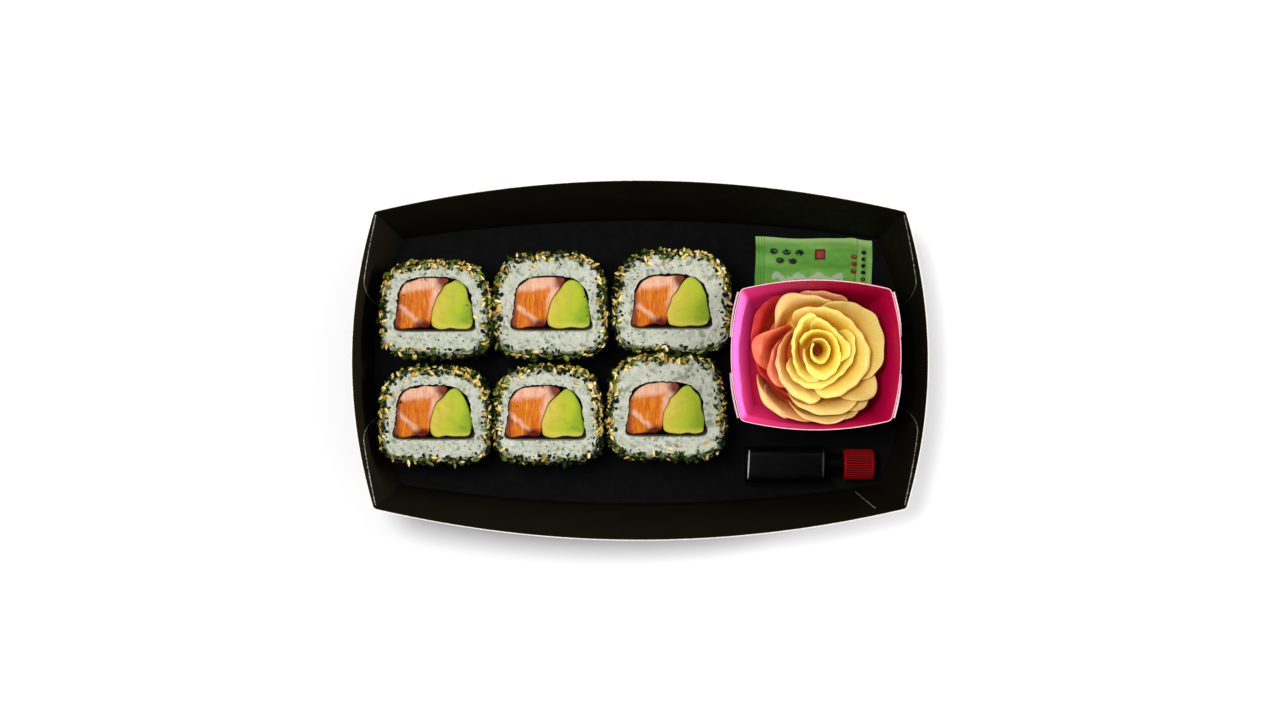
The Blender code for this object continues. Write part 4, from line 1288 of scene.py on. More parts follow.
# 1 in the middle of the left wall, 0.7 at its corners and -1 in the middle of the right one
pot_x, pot_y = pot_loops[..., 0], pot_loops[..., 1] * POT_RIM[0][0] / POT_RIM[0][1]
leftness = -pot_x / np.hypot(pot_x, pot_y)
inside = pot_rise > 0
# Painted sheen: full on the upper part of the left wall, and a little more towards the left.
glow = np.clip((leftness - 0.68) / 0.05, 0, 1) * np.clip(0.25 + pot_rise * 1.5, 0, 1)
glow = np.maximum(glow, 0.3 * np.clip(leftness + 0.2, 0, 1)) * inside
store(pot, "wall", np.append(glow.ravel(), [0.0, 0.0]))
# Where the emission paints light: the inside of the left half, more towards the rim.
lit = np.clip(leftness * 1.4 - 0.4, 0, 1) * inside * (0.6 + 0.4 * np.clip(pot_rise * 1.6, 0, 1))
store(pot, "lit", np.append(lit.ravel(), [0.0, 0.0]))
print("pot", len(pot.data.polygons), "faces")

# %% [markdown]
# The pot's own corner tabs are glued outside its short walls, so from above each shows
# only its raw upper edge, a thin pale line beside the rim.

# %% The pot's outer tabs
POT_TAB_LENGTH = 0.36
POT_TAB_STEPS = 24
POT_TAB_CUT = 0.62


def pot_tab(side, end):
    """A thin strip outside a short wall of the pot, from a corner to a third of its length."""
    along = np.linspace(0.02, POT_TAB_LENGTH, POT_TAB_STEPS)[:, None]
    drop = np.array([0.0, 0.02, 0.3])[None, :] + 0.012 + 0.05 * (along / POT_TAB_LENGTH) ** 3
    bow = 4 * along * (1 - along)
    rim = POT_RIM[0][0] + POT_RIM[1][0] * bow
    base = POT_FLOOR[0][0] + POT_FLOOR[1][0] * bow
    half = POT_RIM[0][1] + (POT_FLOOR[0][1] - POT_RIM[0][1]) * drop
    grids = []
    for out in (1.05, 0.45):
        x = POT_CENTRE[0] + side * (rim + (base - rim) * drop + out)
        y = POT_CENTRE[1] + end * half * (1 - 2 * along)
        z = POT_BASE + POT_HEIGHT * (1 - drop)
        grids.append(np.stack(np.broadcast_arrays(x, y, z), axis=-1))
    cut = np.broadcast_to([POT_TAB_CUT, 0.0, 0.0], (POT_TAB_STEPS, 3))
    return thin_sheet(*grids), np.tile(cut.ravel(), 2)


pot_tabs = [pot_tab(side, end) for side in (-1, 1) for end in (1, -1)]
points, faces = join([part[0] for part in pot_tabs])
tab_strips = new_piece("pot_tabs", points, faces, pot_board, [], "pink_board")
store(tab_strips, "cut", np.concatenate([part[1] for part in pot_tabs]))
store(tab_strips, "wall", np.zeros(len(points)))
store(tab_strips, "lit", np.zeros(len(points)))
print("pot tabs", len(faces), "faces")

# %% [markdown]
# ## The ginger rose
#
# Pickled ginger comes in thin wet slices. Here they are set on edge and wound into a rose:
# a bud, a spiral round it, and slices that lean out more and more. A slice is a sheet of
# two parameters. Along s its lip follows a smooth path of angle, radius and height. Up v
# it rises from its foot along a quarter of an ellipse, carried a little past the top, so
# that the lip rolls over. The lips were read off the photo petal by petal, because no two
# are alike.

# %% The slices
ROSE_CENTRE = (65.2, 4.3)
ROSE_BASE = 1.7
LIP_TURN = math.radians(100.0)
END_ROUNDING = 0.42
SLICE_ROWS = 28
# Half a slice's thickness at its foot, and how much of it is lost towards the lip.
SLICE_HALF = (0.36, 0.12)
FRILL = 0.3
# For each slice, from the middle outwards: the radius of its foot at its first and last
# end, how far it leans from a trumpet (0) to a cone (1), and its lip as points of angle in
# degrees, radius and height.
PETALS = (
    (1.5, 2.7, 0.3, (
        (128, 3.0, 30.4), (165, 3.1, 31.3), (205, 3.5, 31.4), (240, 4.7, 31.3), (272, 5.4, 31.2),
        (300, 5.0, 31.2), (335, 4.0, 31.3), (390, 3.5, 31.4), (450, 3.6, 31.3), (492, 4.2, 30.2),
    )),
    (4.0, 5.0, 0.15, (
        (176, 5.6, 28.0), (200, 6.2, 30.2), (225, 7.6, 30.6), (250, 9.8, 30.8), (275, 11.4, 30.8),
        (300, 10.7, 30.8), (330, 8.6, 30.8), (360, 7.4, 30.9), (395, 6.9, 30.9), (450, 6.9, 30.9),
        (480, 7.2, 30.6), (505, 7.8, 30.0), (528, 8.0, 28.5),
    )),
    (7.3, 6.3, 0.15, (
        (88, 13.0, 28.0), (104, 13.5, 29.0), (116, 13.3, 29.3), (128, 12.4, 29.4),
        (145, 11.0, 29.4), (170, 9.9, 29.3), (190, 10.1, 29.3), (210, 10.8, 29.3),
        (230, 11.7, 29.3), (250, 12.5, 29.0), (264, 12.6, 28.6), (278, 12.2, 27.5),
    )),
    (5.8, 5.8, 0.15, (
        (-42, 9.2, 28.0), (-25, 10.3, 29.8), (-10, 11.2, 30.0), (7, 11.0, 30.1), (22, 9.8, 30.2),
        (45, 9.0, 30.2), (67, 9.4, 30.2), (85, 10.8, 30.2), (98, 11.6, 30.1), (112, 11.4, 29.4),
    )),
    (8.5, 8.5, 0.15, (
        (198, 13.0, 27.0), (214, 14.4, 28.2), (230, 15.0, 28.4), (245, 14.9, 28.4),
        (260, 14.6, 28.4), (278, 14.1, 28.4), (296, 13.3, 28.6), (322, 12.5, 28.8),
        (345, 12.9, 28.9), (365, 13.6, 28.9), (382, 14.0, 28.6), (400, 13.8, 27.6),
    )),
    (10.6, 11.8, 0.15, (
        (144, 12.6, 26.0), (158, 13.0, 27.0), (172, 13.9, 27.2), (187, 15.4, 27.3),
        (201, 17.1, 27.4), (215, 18.0, 27.4), (227, 18.6, 27.4), (240, 19.1, 27.4),
        (253, 20.0, 27.2), (265, 20.8, 26.8), (278, 20.8, 26.0),
    )),
    (10.1, 10.1, 0.15, (
        (260, 16.6, 27.0), (275, 18.2, 27.8), (289, 18.3, 28.0), (307, 18.7, 28.0),
        (325, 19.4, 27.9), (342, 19.5, 27.8), (357, 18.4, 27.6), (373, 17.0, 27.5),
        (388, 16.4, 27.5), (404, 16.0, 27.6), (421, 15.3, 27.7), (441, 15.1, 27.6),
        (458, 15.6, 27.2), (476, 17.0, 26.6), (494, 17.4, 25.6),
    )),
    (15.4, 14.4, 0.1, (
        (64, 18.8, 23.5), (76, 18.8, 25.2), (90, 19.6, 25.8), (103, 20.5, 26.0), (114, 22.0, 26.2),
        (124, 23.2, 26.2), (134, 21.8, 25.8), (147, 19.6, 24.6), (158, 18.4, 23.0),
    )),
    (16.6, 16.6, 0.3, (
        (50, 22.0, 22.5), (62, 22.0, 24.4), (73, 21.4, 25.2), (84, 21.1, 25.4), (95, 21.2, 25.3),
        (105, 21.8, 24.8), (118, 22.8, 23.2),
    )),
    (12.8, 12.8, 0.45, (
        (-40, 20.8, 25.0), (-28, 22.6, 26.4), (-14, 23.7, 26.8), (3, 23.7, 27.0), (18, 24.0, 27.0),
        (31, 24.2, 27.0), (45, 22.4, 27.2), (60, 20.0, 27.3), (74, 17.8, 27.0), (88, 17.2, 26.4),
    )),
    (15.6, 15.6, 0.2, (
        (-66, 23.0, 27.2), (-56, 24.2, 28.2), (-48, 25.6, 27.8), (-40, 26.6, 27.0),
        (-31, 26.3, 26.2), (-20, 25.6, 25.0),
    )),
    (17.0, 17.0, 0.25, (
        (-96, 22.4, 25.2), (-86, 23.4, 26.4), (-76, 24.2, 26.8), (-66, 25.2, 26.8),
        (-57, 26.8, 26.4), (-47, 27.6, 25.4), (-38, 27.4, 24.0),
    )),
    (20.8, 21.6, 0.6, (
        (242, 23.4, 28.4), (251, 25.2, 31.2), (260, 26.5, 32.4), (270, 27.2, 33.0),
        (280, 27.4, 33.2), (288, 27.7, 32.6), (297, 27.9, 31.2),
    )),
    (22.2, 22.2, 0.4, (
        (203, 25.8, 26.0), (215, 27.2, 27.8), (225, 28.4, 28.8), (234, 28.7, 29.2),
        (243, 28.4, 28.8), (248, 27.6, 27.8), (253, 26.8, 26.4),
    )),
    (12.0, 15.0, 0.1, (
        (138, 15.0, 25.8), (146, 15.6, 26.4), (155, 17.6, 26.6), (163, 20.8, 26.6),
        (171, 23.4, 26.4), (179, 24.2, 26.0), (189, 23.6, 25.4), (198, 23.0, 24.8),
        (208, 22.6, 23.8),
    )),
    (12.2, 13.2, 0.15, (
        (164, 15.2, 25.8), (177, 16.6, 26.6), (191, 18.6, 26.8), (202, 20.4, 26.8),
        (211, 20.9, 26.8), (221, 20.8, 26.4), (234, 20.8, 25.4),
    )),
    (18.0, 18.0, 0.2, (
        (116, 23.8, 22.0), (129, 25.0, 23.6), (143, 26.0, 24.0), (157, 26.0, 24.0),
        (170, 25.6, 23.6), (184, 25.2, 22.0),
    )),
    (17.0, 16.4, 0.2, (
        (180, 23.8, 21.6), (194, 23.8, 22.8), (206, 22.8, 22.8), (218, 21.6, 21.6),
        (232, 20.8, 19.8), (244, 20.4, 18.4), (256, 20.2, 16.8),
    )),
)


def smooth_path(corners, s):
    """Points at s, from 0 to 1, along an open Catmull-Rom curve through a few corners."""
    corners = np.array(corners, float)
    ends = 2 * corners[[0, -1]] - corners[[1, -2]]
    padded = np.vstack([ends[:1], corners, ends[1:]])
    place = s * (len(corners) - 1)
    k = np.clip(place.astype(int), 0, len(corners) - 2)
    t = (place - k)[:, None]
    return catmull_rom(*(padded[k + j] for j in range(4)), t)


def slice_sheet(number, petal):
    """Front and back grids of a slice, how far up and along it each point is, and a flat map.

    Short sines of the angle frill the lip, and a longer one makes the whole slice wave.
    """
    first, last, lean, lip = petal
    sweep = lip[-1][0] - lip[0][0]
    s = np.linspace(0, 1, max(28, round(sweep / 3.2)))
    angle, reach, height = (part[:, None] for part in smooth_path(lip, s).T)
    angle = np.radians(angle)
    s = s[:, None]
    up = np.linspace(0, 1, SLICE_ROWS)[None, :]
    v = up * (1 - END_ROUNDING * np.abs(2 * s - 1) ** max(3, sweep / 15))
    outward = (1 - np.cos(LIP_TURN * v)) / (1 - math.cos(LIP_TURN))
    upward = np.sin(LIP_TURN * v)
    foot = first + (last - first) * s
    radius = foot + (reach - foot) * (outward + lean * (v - outward))
    z = ROSE_BASE + (height - ROSE_BASE) * (upward + lean * (v - upward))
    frill = np.sin(angle * 9.0 + number) + 0.6 * np.sin(angle * 23.0 + 2.0 * number)
    z = z + FRILL * frill * v**6
    waves = 0.2 * np.sin(angle * 17.0 + 3.0 * number) * v**4
    waves = waves + 0.35 * np.sin(angle * 5.0 + 2.0 * number) * v**3
    radius = radius + waves * np.clip(reach / 15.0, 0.15, 1.0)
    across, rise = np.gradient(radius, axis=1), np.gradient(z, axis=1)
    length = np.hypot(across, rise)
    half = (SLICE_HALF[0] - SLICE_HALF[1] * v) / length
    grids = []
    for side in (half, -half):
        r = radius + rise * side
        x, y = ROSE_CENTRE[0] + r * np.cos(angle), ROSE_CENTRE[1] + r * np.sin(angle)
        grids.append(np.stack([x, y, z - across * side], axis=-1))
    flat = np.stack(np.broadcast_arrays(angle * reach, up * 12.0), axis=-1)
    return grids, up + 0 * v, s + 0 * v, flat


print(len(PETALS), "slices with", sum(len(petal[3]) for petal in PETALS), "points on their lips")

# %% [markdown]
# Young ginger blushes pink in its vinegar. The slices in the heart are butter yellow, the
# outer ones cream, and those on the left peach to dark red. A small table gives each
# slice's yellow and its blush at both ends. A faint yellow emission is painted light in
# the slices, strongest in the yellow ones. Fine fibres run up each slice, and its colour
# deepens to amber towards the foot, as painted shade. Two more slices fill the rose's
# front, where the photo shows them lying against the pot.

# %% The ginger's tones
# yellow, blush at the first end, blush at the last end
SLICE_TONES = (
    (1.0, 0.0, 0.0), (1.0, 0.0, 0.0), (0.9, 0.05, 0.0), (0.9, 0.0, 0.0), (0.75, 0.12, 0.0),
    (0.3, 0.34, 0.02), (0.6, 0.0, 0.1), (0.15, 0.0, 0.24), (0.0, 0.3, 0.35), (0.35, 0.05, 0.0),
    (0.2, 0.05, 0.1), (0.1, 0.0, 0.05), (0.05, 0.12, 0.05), (0.0, 0.14, 0.02), (0.0, 0.64, 0.6),
    (0.0, 0.6, 0.42), (0.0, 0.95, 0.85), (0.0, 0.95, 0.85), (0.05, 0.3, 0.05), (0.1, 0.1, 0.1),
)
# Strength of the painted yellow glow in the slices.
GLIMMER_STRENGTH = 0.045
# The two front slices, in the same form as the others.
FRONT_PETALS = (
    (21.2, 21.6, 0.5, (
        (214, 25.6, 25.0), (228, 27.4, 27.4), (243, 27.6, 28.8), (258, 27.1, 29.4), (272, 26.9, 29.6),
        (286, 27.2, 29.2), (298, 27.6, 28.2), (310, 27.0, 26.0),
    )),
    (17.6, 17.4, 0.3, (
        (236, 21.6, 27.0), (252, 22.8, 28.6), (268, 23.6, 29.4), (284, 24.4, 29.6), (300, 25.2, 29.0),
        (312, 25.0, 27.6),
    )),
)


def ginger_material():
    """Pickled ginger: yellow heart, cream outside, blush to dark red, wet and translucent, with painted
    amber shade towards the foot and a painted yellow glow.
    """
    material, tree, shader = new_material(
        "pickled_ginger", 0.32, Subsurface_Weight=0.4, Subsurface_Scale=0.003, Specular_IOR_Level=0.3,
    )
    shader.inputs["Subsurface Radius"].default_value = (1.0, 0.8, 0.4)
    slice_map = node(tree, "ShaderNodeUVMap", uv_map="slice").outputs[0]
    fibres = noise(tree, stretched(tree, slice_map, (2.6, 0.12, 1.0)), 1.0, 4.0, 0.6)
    cloud = maths(tree, "SUBTRACT", mottled(tree, object_place(tree), 130.0), 0.5)
    pale = mix(tree, attribute(tree, "yellow"), srgb(236, 204, 126), srgb(255, 240, 122))
    # Painted shade: deeper amber towards the foot of each slice, where the slices shade each other.
    deep = mix(tree, attribute(tree, "yellow"), srgb(246, 196, 96), srgb(240, 200, 50))
    depth = maths(tree, "ADD", attribute(tree, "lip"), maths(tree, "MULTIPLY", cloud, 0.5))
    fresh = mix(tree, steps(tree, depth, 0.4, 0.9), deep, pale)
    blush = maths(tree, "ADD", attribute(tree, "blush"), maths(tree, "MULTIPLY", cloud, 0.5), True)
    rosy = ramp(tree, blush, (
        (0.1, srgb(250, 210, 140)), (0.32, srgb(244, 172, 118)), (0.55, srgb(230, 128, 90)),
        (0.78, srgb(196, 60, 46)), (1.0, srgb(158, 26, 30)),
    ))
    # Painted shade on the blushed slices too, darker towards the foot.
    rosy_deep = mix(tree, 1.0, rosy, srgb(240, 180, 150), "MULTIPLY")
    rosy = mix(tree, steps(tree, depth, 0.35, 0.9), rosy_deep, rosy)
    skin_tone = mix(tree, steps(tree, blush, 0.06, 0.3), fresh, rosy)
    shade = mix(tree, 1.0, skin_tone, srgb(242, 216, 164), "MULTIPLY")
    fibre_mask = steps(tree, fibres, 0.42, 0.7)
    feed(tree, shader, Base_Color=laid(tree, fibre_mask, 0.5, skin_tone, shade))
    feed(tree, shader, Normal=bump(tree, fibres, 0.00025, 0.4))
    # A faint yellow emission is painted light, brightest in the yellow slices.
    shader.inputs["Emission Strength"].default_value = GLIMMER_STRENGTH
    glimmer = mix(tree, attribute(tree, "yellow"), NO_LIGHT, srgb(255, 206, 50))
    feed(tree, shader, Emission_Color=glimmer)
    wetness = mottled(tree, object_place(tree), 300.0)
    feed(tree, shader, Roughness=steps(tree, wetness, 0.3, 0.7, 0.26, 0.42))
    return material


ginger = ginger_material()
print(ginger.name, "with", len(ginger.node_tree.nodes), "nodes")

# %% The slices placed
for number, (petal, tones) in enumerate(zip(PETALS + FRONT_PETALS, SLICE_TONES), 1):
    grids, lip, along, flat = slice_sheet(number, petal)
    points, faces = thin_sheet(*grids)
    solids = [f"ginger_slice_{number:02d}"] if number <= len(PETALS) else []
    piece = new_piece(f"ginger_{number:02d}", points, faces, ginger, solids, "ginger", 180.0)
    store(piece, "lip", np.tile(lip.ravel(), 2))
    store(piece, "yellow", np.full(len(points), tones[0]))
    store(piece, "blush", np.tile((tones[1] + (tones[2] - tones[1]) * along).ravel(), 2))
    store_uv(piece, "slice", np.tile(flat.reshape(-1, 2), (2, 1)))
print(len(PETALS), "slices over solids and", len(FRONT_PETALS), "more")

# %% [markdown]
# Under the rose the pot is full of more slices, of which only folds show through the gaps.
# They are one low heap: a disc in polar rows whose height has winding folds, sines of the
# angle plus a multiple of the radius.

# %% The ginger heap under the rose
HEAP_RADIUS = 19.5
HEAP_SIDE = 8.0
HEAP_TOP = 15.0
BUD_RADIUS = 3.0

heap_angles = full_turn(180)
heap_circle = np.column_stack([np.cos(heap_angles), np.sin(heap_angles)])
heap_loops = [flat_loop(s * HEAP_RADIUS * heap_circle, ROSE_BASE) for s in (0.1, 0.5, 0.9)]
heap_loops.append(flat_loop(0.9 * HEAP_RADIUS * heap_circle, HEAP_SIDE))
for s in np.linspace(0.985, 0.02, 56):
    folds = 1.3 * np.sin(5 * heap_angles + 9 * s) * s
    folds = folds + 0.8 * np.sin(13 * s * s * 3 + 2 * heap_angles)
    level = HEAP_TOP - 5.0 * s**6 + folds
    heap_loops.append(flat_loop(s * HEAP_RADIUS * heap_circle, level))
points, faces = skin(np.array(heap_loops))
heap = new_piece("ginger_heap", points + (*POT_CENTRE, 0.0), faces, ginger, [], "ginger", 180.0)
store(heap, "lip", np.full(len(points), 0.45))
store(heap, "yellow", np.full(len(points), 0.6))
from_bud = points[:, :2] + POT_CENTRE - ROSE_CENTRE
under_bud = np.hypot(*from_bud.T) < BUD_RADIUS
left_blush = np.clip((-points[:, 0] - 0.5 * points[:, 1]) / 14.0, 0, 0.95)
store(heap, "blush", np.where(under_bud, 1.0, left_blush))
store_uv(heap, "slice", points[:, :2])
print("heap", len(faces), "faces")

# %% [markdown]
# ## The sachet
#
# A foil sachet is two skins pressed together round a soft filling. Between the seals it
# swells as a flat pillow. The left seal is crimped into fine upright ridges, and the right
# end is folded over. The print stands in for the real label with plain shapes: rows of
# ragged dark and brown blots, a red square and a pale brushed wave.

# %% The sachet's shape
SACHET_CENTRE = (65.0, 35.0)
SACHET_SIZE = (43.7, 22.4)
SACHET_SKEW = 0.6
SACHET_THICKNESS = 2.6
SACHET_SEAL = 2.6


def sachet_grids():
    """Top and bottom grids: a pillow between seals, plus crimps, a fold and small wrinkles."""
    x = np.linspace(-1, 1, 220)[:, None]
    y = np.linspace(-1, 1, 110)[None, :]
    width, depth = SACHET_SIZE
    inside_x = np.clip((1 - np.abs(x)) * width / 2 / SACHET_SEAL - 0.6, 0, 1)
    inside_y = np.clip((1 - np.abs(y)) * depth / 2 / SACHET_SEAL - 0.3, 0, 1)
    smooth_x, smooth_y = inside_x**2 * (3 - 2 * inside_x), inside_y**2 * (3 - 2 * inside_y)
    puff = smooth_x * smooth_y * (1 - 0.45 * x**2) * (1 - 0.35 * y**2)
    plane_x = SACHET_CENTRE[0] + x * width / 2 + 0.2 * np.sin(3 * y)
    peak = 0.7 * np.clip(1 - np.abs(x - 0.66) / 0.3, 0, 1) ** 1.5 * np.clip(y, 0, 1) ** 4
    plane_y = SACHET_CENTRE[1] + y * depth / 2 + 0.25 * np.sin(5 * x) - SACHET_SKEW * x + peak
    spot = np.stack(np.broadcast_arrays(plane_x, plane_y), axis=-1)
    crimp = 0.11 * np.sin(plane_x * 2 * np.pi / 1.1) * np.clip((-0.84 - x) / 0.02, 0, 1)
    fold = 0.45 * np.clip(1 - np.abs(x - 0.7 - 0.03 * y) / 0.035, 0, 1) * (1 + 0 * y)
    wrinkles = (0.12 * ripple(spot, 9.0, 21) + 0.035 * ripple(spot, 3.6, 22)) * puff**0.5
    low = ROLL_BASE
    top = low + 0.55 + (SACHET_THICKNESS - 1.0) * puff + crimp + fold + wrinkles
    upper = np.stack(np.broadcast_arrays(plane_x, plane_y, top), axis=-1)
    lower = np.stack(np.broadcast_arrays(plane_x, plane_y, low + 0 * top), axis=-1)
    plane = np.stack(np.broadcast_arrays(x * width / 2, y * depth / 2), axis=-1)
    return upper, lower, plane


upper, lower, plane = sachet_grids()
print("sachet", np.ptp(upper.reshape(-1, 3), axis=0).round(1), "mm")

# %% The sachet's print
def box_mask(tree, x, y, centre, half, soft):
    """1 inside a rectangle with a soft border."""
    reach = []
    for k, place in enumerate((x, y)):
        offset = maths(tree, "ABSOLUTE", maths(tree, "SUBTRACT", place, centre[k]))
        reach.append(maths(tree, "SUBTRACT", offset, half[k]))
    return steps(tree, maths(tree, "MAXIMUM", *reach), -soft, soft, 1.0, 0.0)


def foil_material():
    """Green printed foil: long streaks of painted sheen, generic shapes in dark ink and red, a pale brushed
    wave, a painted highlight along the top edge and beyond the fold, and painted shade in the crimps.
    """
    material, tree, shader = new_material("green_foil", 0.42, Specular_IOR_Level=0.08)
    print_map = node(tree, "ShaderNodeUVMap", uv_map="print").outputs[0]
    parts = node(tree, "ShaderNodeSeparateXYZ", {0: print_map})
    x, y = parts.outputs[0], parts.outputs[1]
    sheen = noise(tree, stretched(tree, print_map, (0.05, 0.2, 1.0)), 1.0, 2.0)
    green = ramp(tree, sheen, (
        (0.3, srgb(76, 138, 42)), (0.55, srgb(100, 160, 62)), (0.75, srgb(126, 178, 84)),
    ))
    # Painted highlight: a pale band along the top edge.
    border = steps(tree, maths(tree, "ADD", y, maths(tree, "MULTIPLY", sheen, 3.0)), 8.0, 12.4)
    colour = laid(tree, border, 0.6, green, srgb(172, 206, 130))
    # Painted highlight: the end beyond the fold is paler.
    colour = laid(tree, steps(tree, x, 15.4, 16.2), 0.35, colour, srgb(158, 196, 112))
    # Painted shade: darker lines in the grooves of the crimped left seal.
    crimps = steps(tree, maths(tree, "SINE", maths(tree, "MULTIPLY", x, 5.7)), 0.3, 1.0)
    crimps = maths(tree, "MULTIPLY", crimps, steps(tree, x, -18.0, -18.6))
    colour = laid(tree, crimps, 0.5, colour, srgb(52, 96, 34))
    dark, brown = srgb(6, 12, 6), srgb(112, 38, 16)
    large, medium, small = (1.6, 1.15), (1.2, 1.0), (0.95, 0.75)
    ragged = steps(tree, noise(tree, print_map, 1.1, 1.0), 0.3, 0.42)
    blots = [((-15.1 + 4.8 * k, 5.9), large, dark) for k in range(3)]
    blots += [((-12.7 + 4.7 * k, 2.6), large, dark) for k in range(2)]
    blots += [((18.6, 6.6 - 2.5 * k), small, dark) for k in range(6)]
    blots += [((14.9, 4.7 - 2.7 * k), medium, brown) for k in range(3)]
    for spot, radii, ink in blots:
        blot = maths(tree, "MULTIPLY", spot_mask(tree, x, y, spot, radii, 0.3), ragged)
        colour = mix(tree, blot, colour, ink)
    colour = mix(tree, box_mask(tree, x, y, (2.2, 5.1), (2.0, 2.0), 0.25), colour, srgb(84, 10, 12))
    colour = mix(tree, box_mask(tree, x, y, (2.2, 5.1), (1.3, 1.3), 0.4), colour, srgb(156, 52, 48))
    swing = maths(tree, "MULTIPLY", maths(tree, "SINE", maths(tree, "MULTIPLY", x, 0.8)), 0.9)
    bristles = noise(tree, stretched(tree, print_map, (0.5, 0.9, 1.0)), 1.0, 2.0)
    brush = maths(tree, "MULTIPLY", bristles, 2.4)
    middle = maths(tree, "ADD", maths(tree, "ADD", y, 2.6), brush)
    wave = maths(tree, "ABSOLUTE", maths(tree, "SUBTRACT", middle, swing))
    ends = maths(tree, "MULTIPLY", steps(tree, x, -15.8, -15.0), steps(tree, x, 11.4, 10.6))
    wave_mask = maths(tree, "MULTIPLY", steps(tree, wave, 1.7, 0.8), ends)
    colour = laid(tree, wave_mask, 0.62, colour, srgb(188, 196, 182))
    feed(tree, shader, Base_Color=colour)
    feed(tree, shader, Normal=bump(tree, noise(tree, print_map, 0.8, 2.0), 0.0002, 0.2))
    return material


points, faces = thin_sheet(upper, lower)
sachet = new_piece("foil_sachet", points, faces, foil_material(), ["sachet"], "green_foil", 70.0)
store_uv(sachet, "print", np.tile(plane.reshape(-1, 2), (2, 1)))
print("sachet", len(faces), "faces")

# %% [markdown]
# ## The soy bottle
#
# The bottle is a thin clear shell, a rounded box with a round neck. Sections across it
# change from a superellipse to a circle, so it is a loft of loops along X: out along the
# outside, over the mouth and back along the inside. The sauce fills it and reaches just
# into the wall, so that no gap of air shows as a bright line between the two. Two fine
# ridges lie across the body. Their pale grey is a painted glint, bright on the one at its
# base and faint on the other.

# %% The bottle's sizes and sections
BOTTLE_Y = -38.2
BOTTLE_Z = 6.9
BOTTLE_LEFT, BOTTLE_RIGHT = 38.8, 69.1
BOTTLE_WIDTH, BOTTLE_DEPTH = 13.7, 12.0
BOTTLE_WALL = 0.6
SAUCE_REACH = 0.06
NECK_RADIUS = 4.0
NECK_END = 82.0
CAP_START, CAP_END = 75.7, 86.9
CAP_RADIUS = 5.6
BOTTLE_ROUND = 96

bottle_angles = full_turn(BOTTLE_ROUND)


def section(x, half_width, half_depth, power):
    """A loop across the bottle at x: a superellipse of the given power, 2 for a circle."""
    radius = superellipse(bottle_angles, half_width, half_depth, half_depth, power)
    y = BOTTLE_Y + radius * np.cos(bottle_angles)
    z = BOTTLE_Z + radius * np.sin(bottle_angles)
    return np.column_stack([np.full(BOTTLE_ROUND, x), y, z])


def body_run(shrink, neck_radius, neck_end):
    """Loops of the body from its base to the neck's end, all moved inwards by shrink."""
    half_w, half_d = BOTTLE_WIDTH / 2 - shrink, BOTTLE_DEPTH / 2 - shrink
    left, right = BOTTLE_LEFT + shrink, BOTTLE_RIGHT - shrink
    loops = []
    for a in np.linspace(0.15, np.pi / 2, 7):
        inward = 1.0 * (1 - math.sin(a))
        loops.append(section(left + 1.0 - math.cos(a), half_w - inward, half_d - inward, 5.0))
    loops += [section(left + (right - left) * t, half_w, half_d, 5.0) for t in (0.25, 0.5, 0.75)]
    for a in np.linspace(np.pi / 2, 0.15, 7):
        inward = 1.0 * (1 - math.sin(a))
        loops.append(section(right - 1.0 + math.cos(a), half_w - inward, half_d - inward, 5.0))
    for t in (0.35, 0.7, 1.0):
        reach = neck_radius + (half_w - 1.2 - neck_radius) * (1 - t) ** 2
        loops.append(section(right + 1.3 * t, reach, min(reach, half_d - 1.0), 2.0 + 3.0 * (1 - t)))
    for t in (0.5, 1.0):
        x = right + 1.3 + (neck_end - right - 1.3) * t
        loops.append(section(x, neck_radius, neck_radius, 2.0))
    return loops


print("the bottle is", CAP_END - BOTTLE_LEFT, "mm long with its cap")

# %% The bottle's finishes
def clear_material():
    """Clear plastic: colourless, thin, with a faint haze. Its low IOR keeps it from shining."""
    material, tree, shader = new_material("clear_plastic", 0.1, IOR=1.08, Transmission_Weight=1.0)
    place = object_place(tree)
    haze = mottled(tree, place, 60.0)
    feed(tree, shader, Base_Color=mix(tree, haze, srgb(238, 240, 240), srgb(252, 252, 252)))
    feed(tree, shader, Normal=bump(tree, noise(tree, place, 90.0, 2.0), 0.00015, 0.1))
    return material


def ridge_material():
    """The bottle's ridges: a painted glint, pale grey where the stored tone is higher."""
    material, tree, shader = new_material("ridge_painted_glint", 0.4, Specular_IOR_Level=0.2)
    tone = maths(tree, "MULTIPLY", attribute(tree, "tone"), noise(tree, object_place(tree), 700.0))
    frost = steps(tree, tone, 0.05, 0.5)
    feed(tree, shader, Base_Color=mix(tree, frost, srgb(18, 18, 19), srgb(190, 190, 192)))
    return material


def sauce_material():
    """Soy sauce in the bottle: near black, mottled with a hint of brown."""
    material, tree, shader = new_material("soy_sauce", 0.3, Specular_IOR_Level=0.02)
    place = object_place(tree)
    feed(tree, shader, Base_Color=mix(tree, noise(tree, place, 50.0), srgb(5, 4, 4), srgb(9, 7, 7)))
    return material


def cap_material():
    """Red moulded plastic, with painted shade in the grooves between its ribs."""
    material, tree, shader = new_material("red_cap", 0.5, Specular_IOR_Level=0.04)
    place = object_place(tree)
    red = mix(tree, mottled(tree, place, 130.0), srgb(132, 5, 10), srgb(164, 9, 14))
    # Painted shade: darker red in the grooves between the ribs.
    feed(tree, shader, Base_Color=mix(tree, attribute(tree, "groove"), red, srgb(56, 2, 6)))
    feed(tree, shader, Normal=bump(tree, noise(tree, place, 1700.0, 2.0), 0.00004, 0.4))
    return material


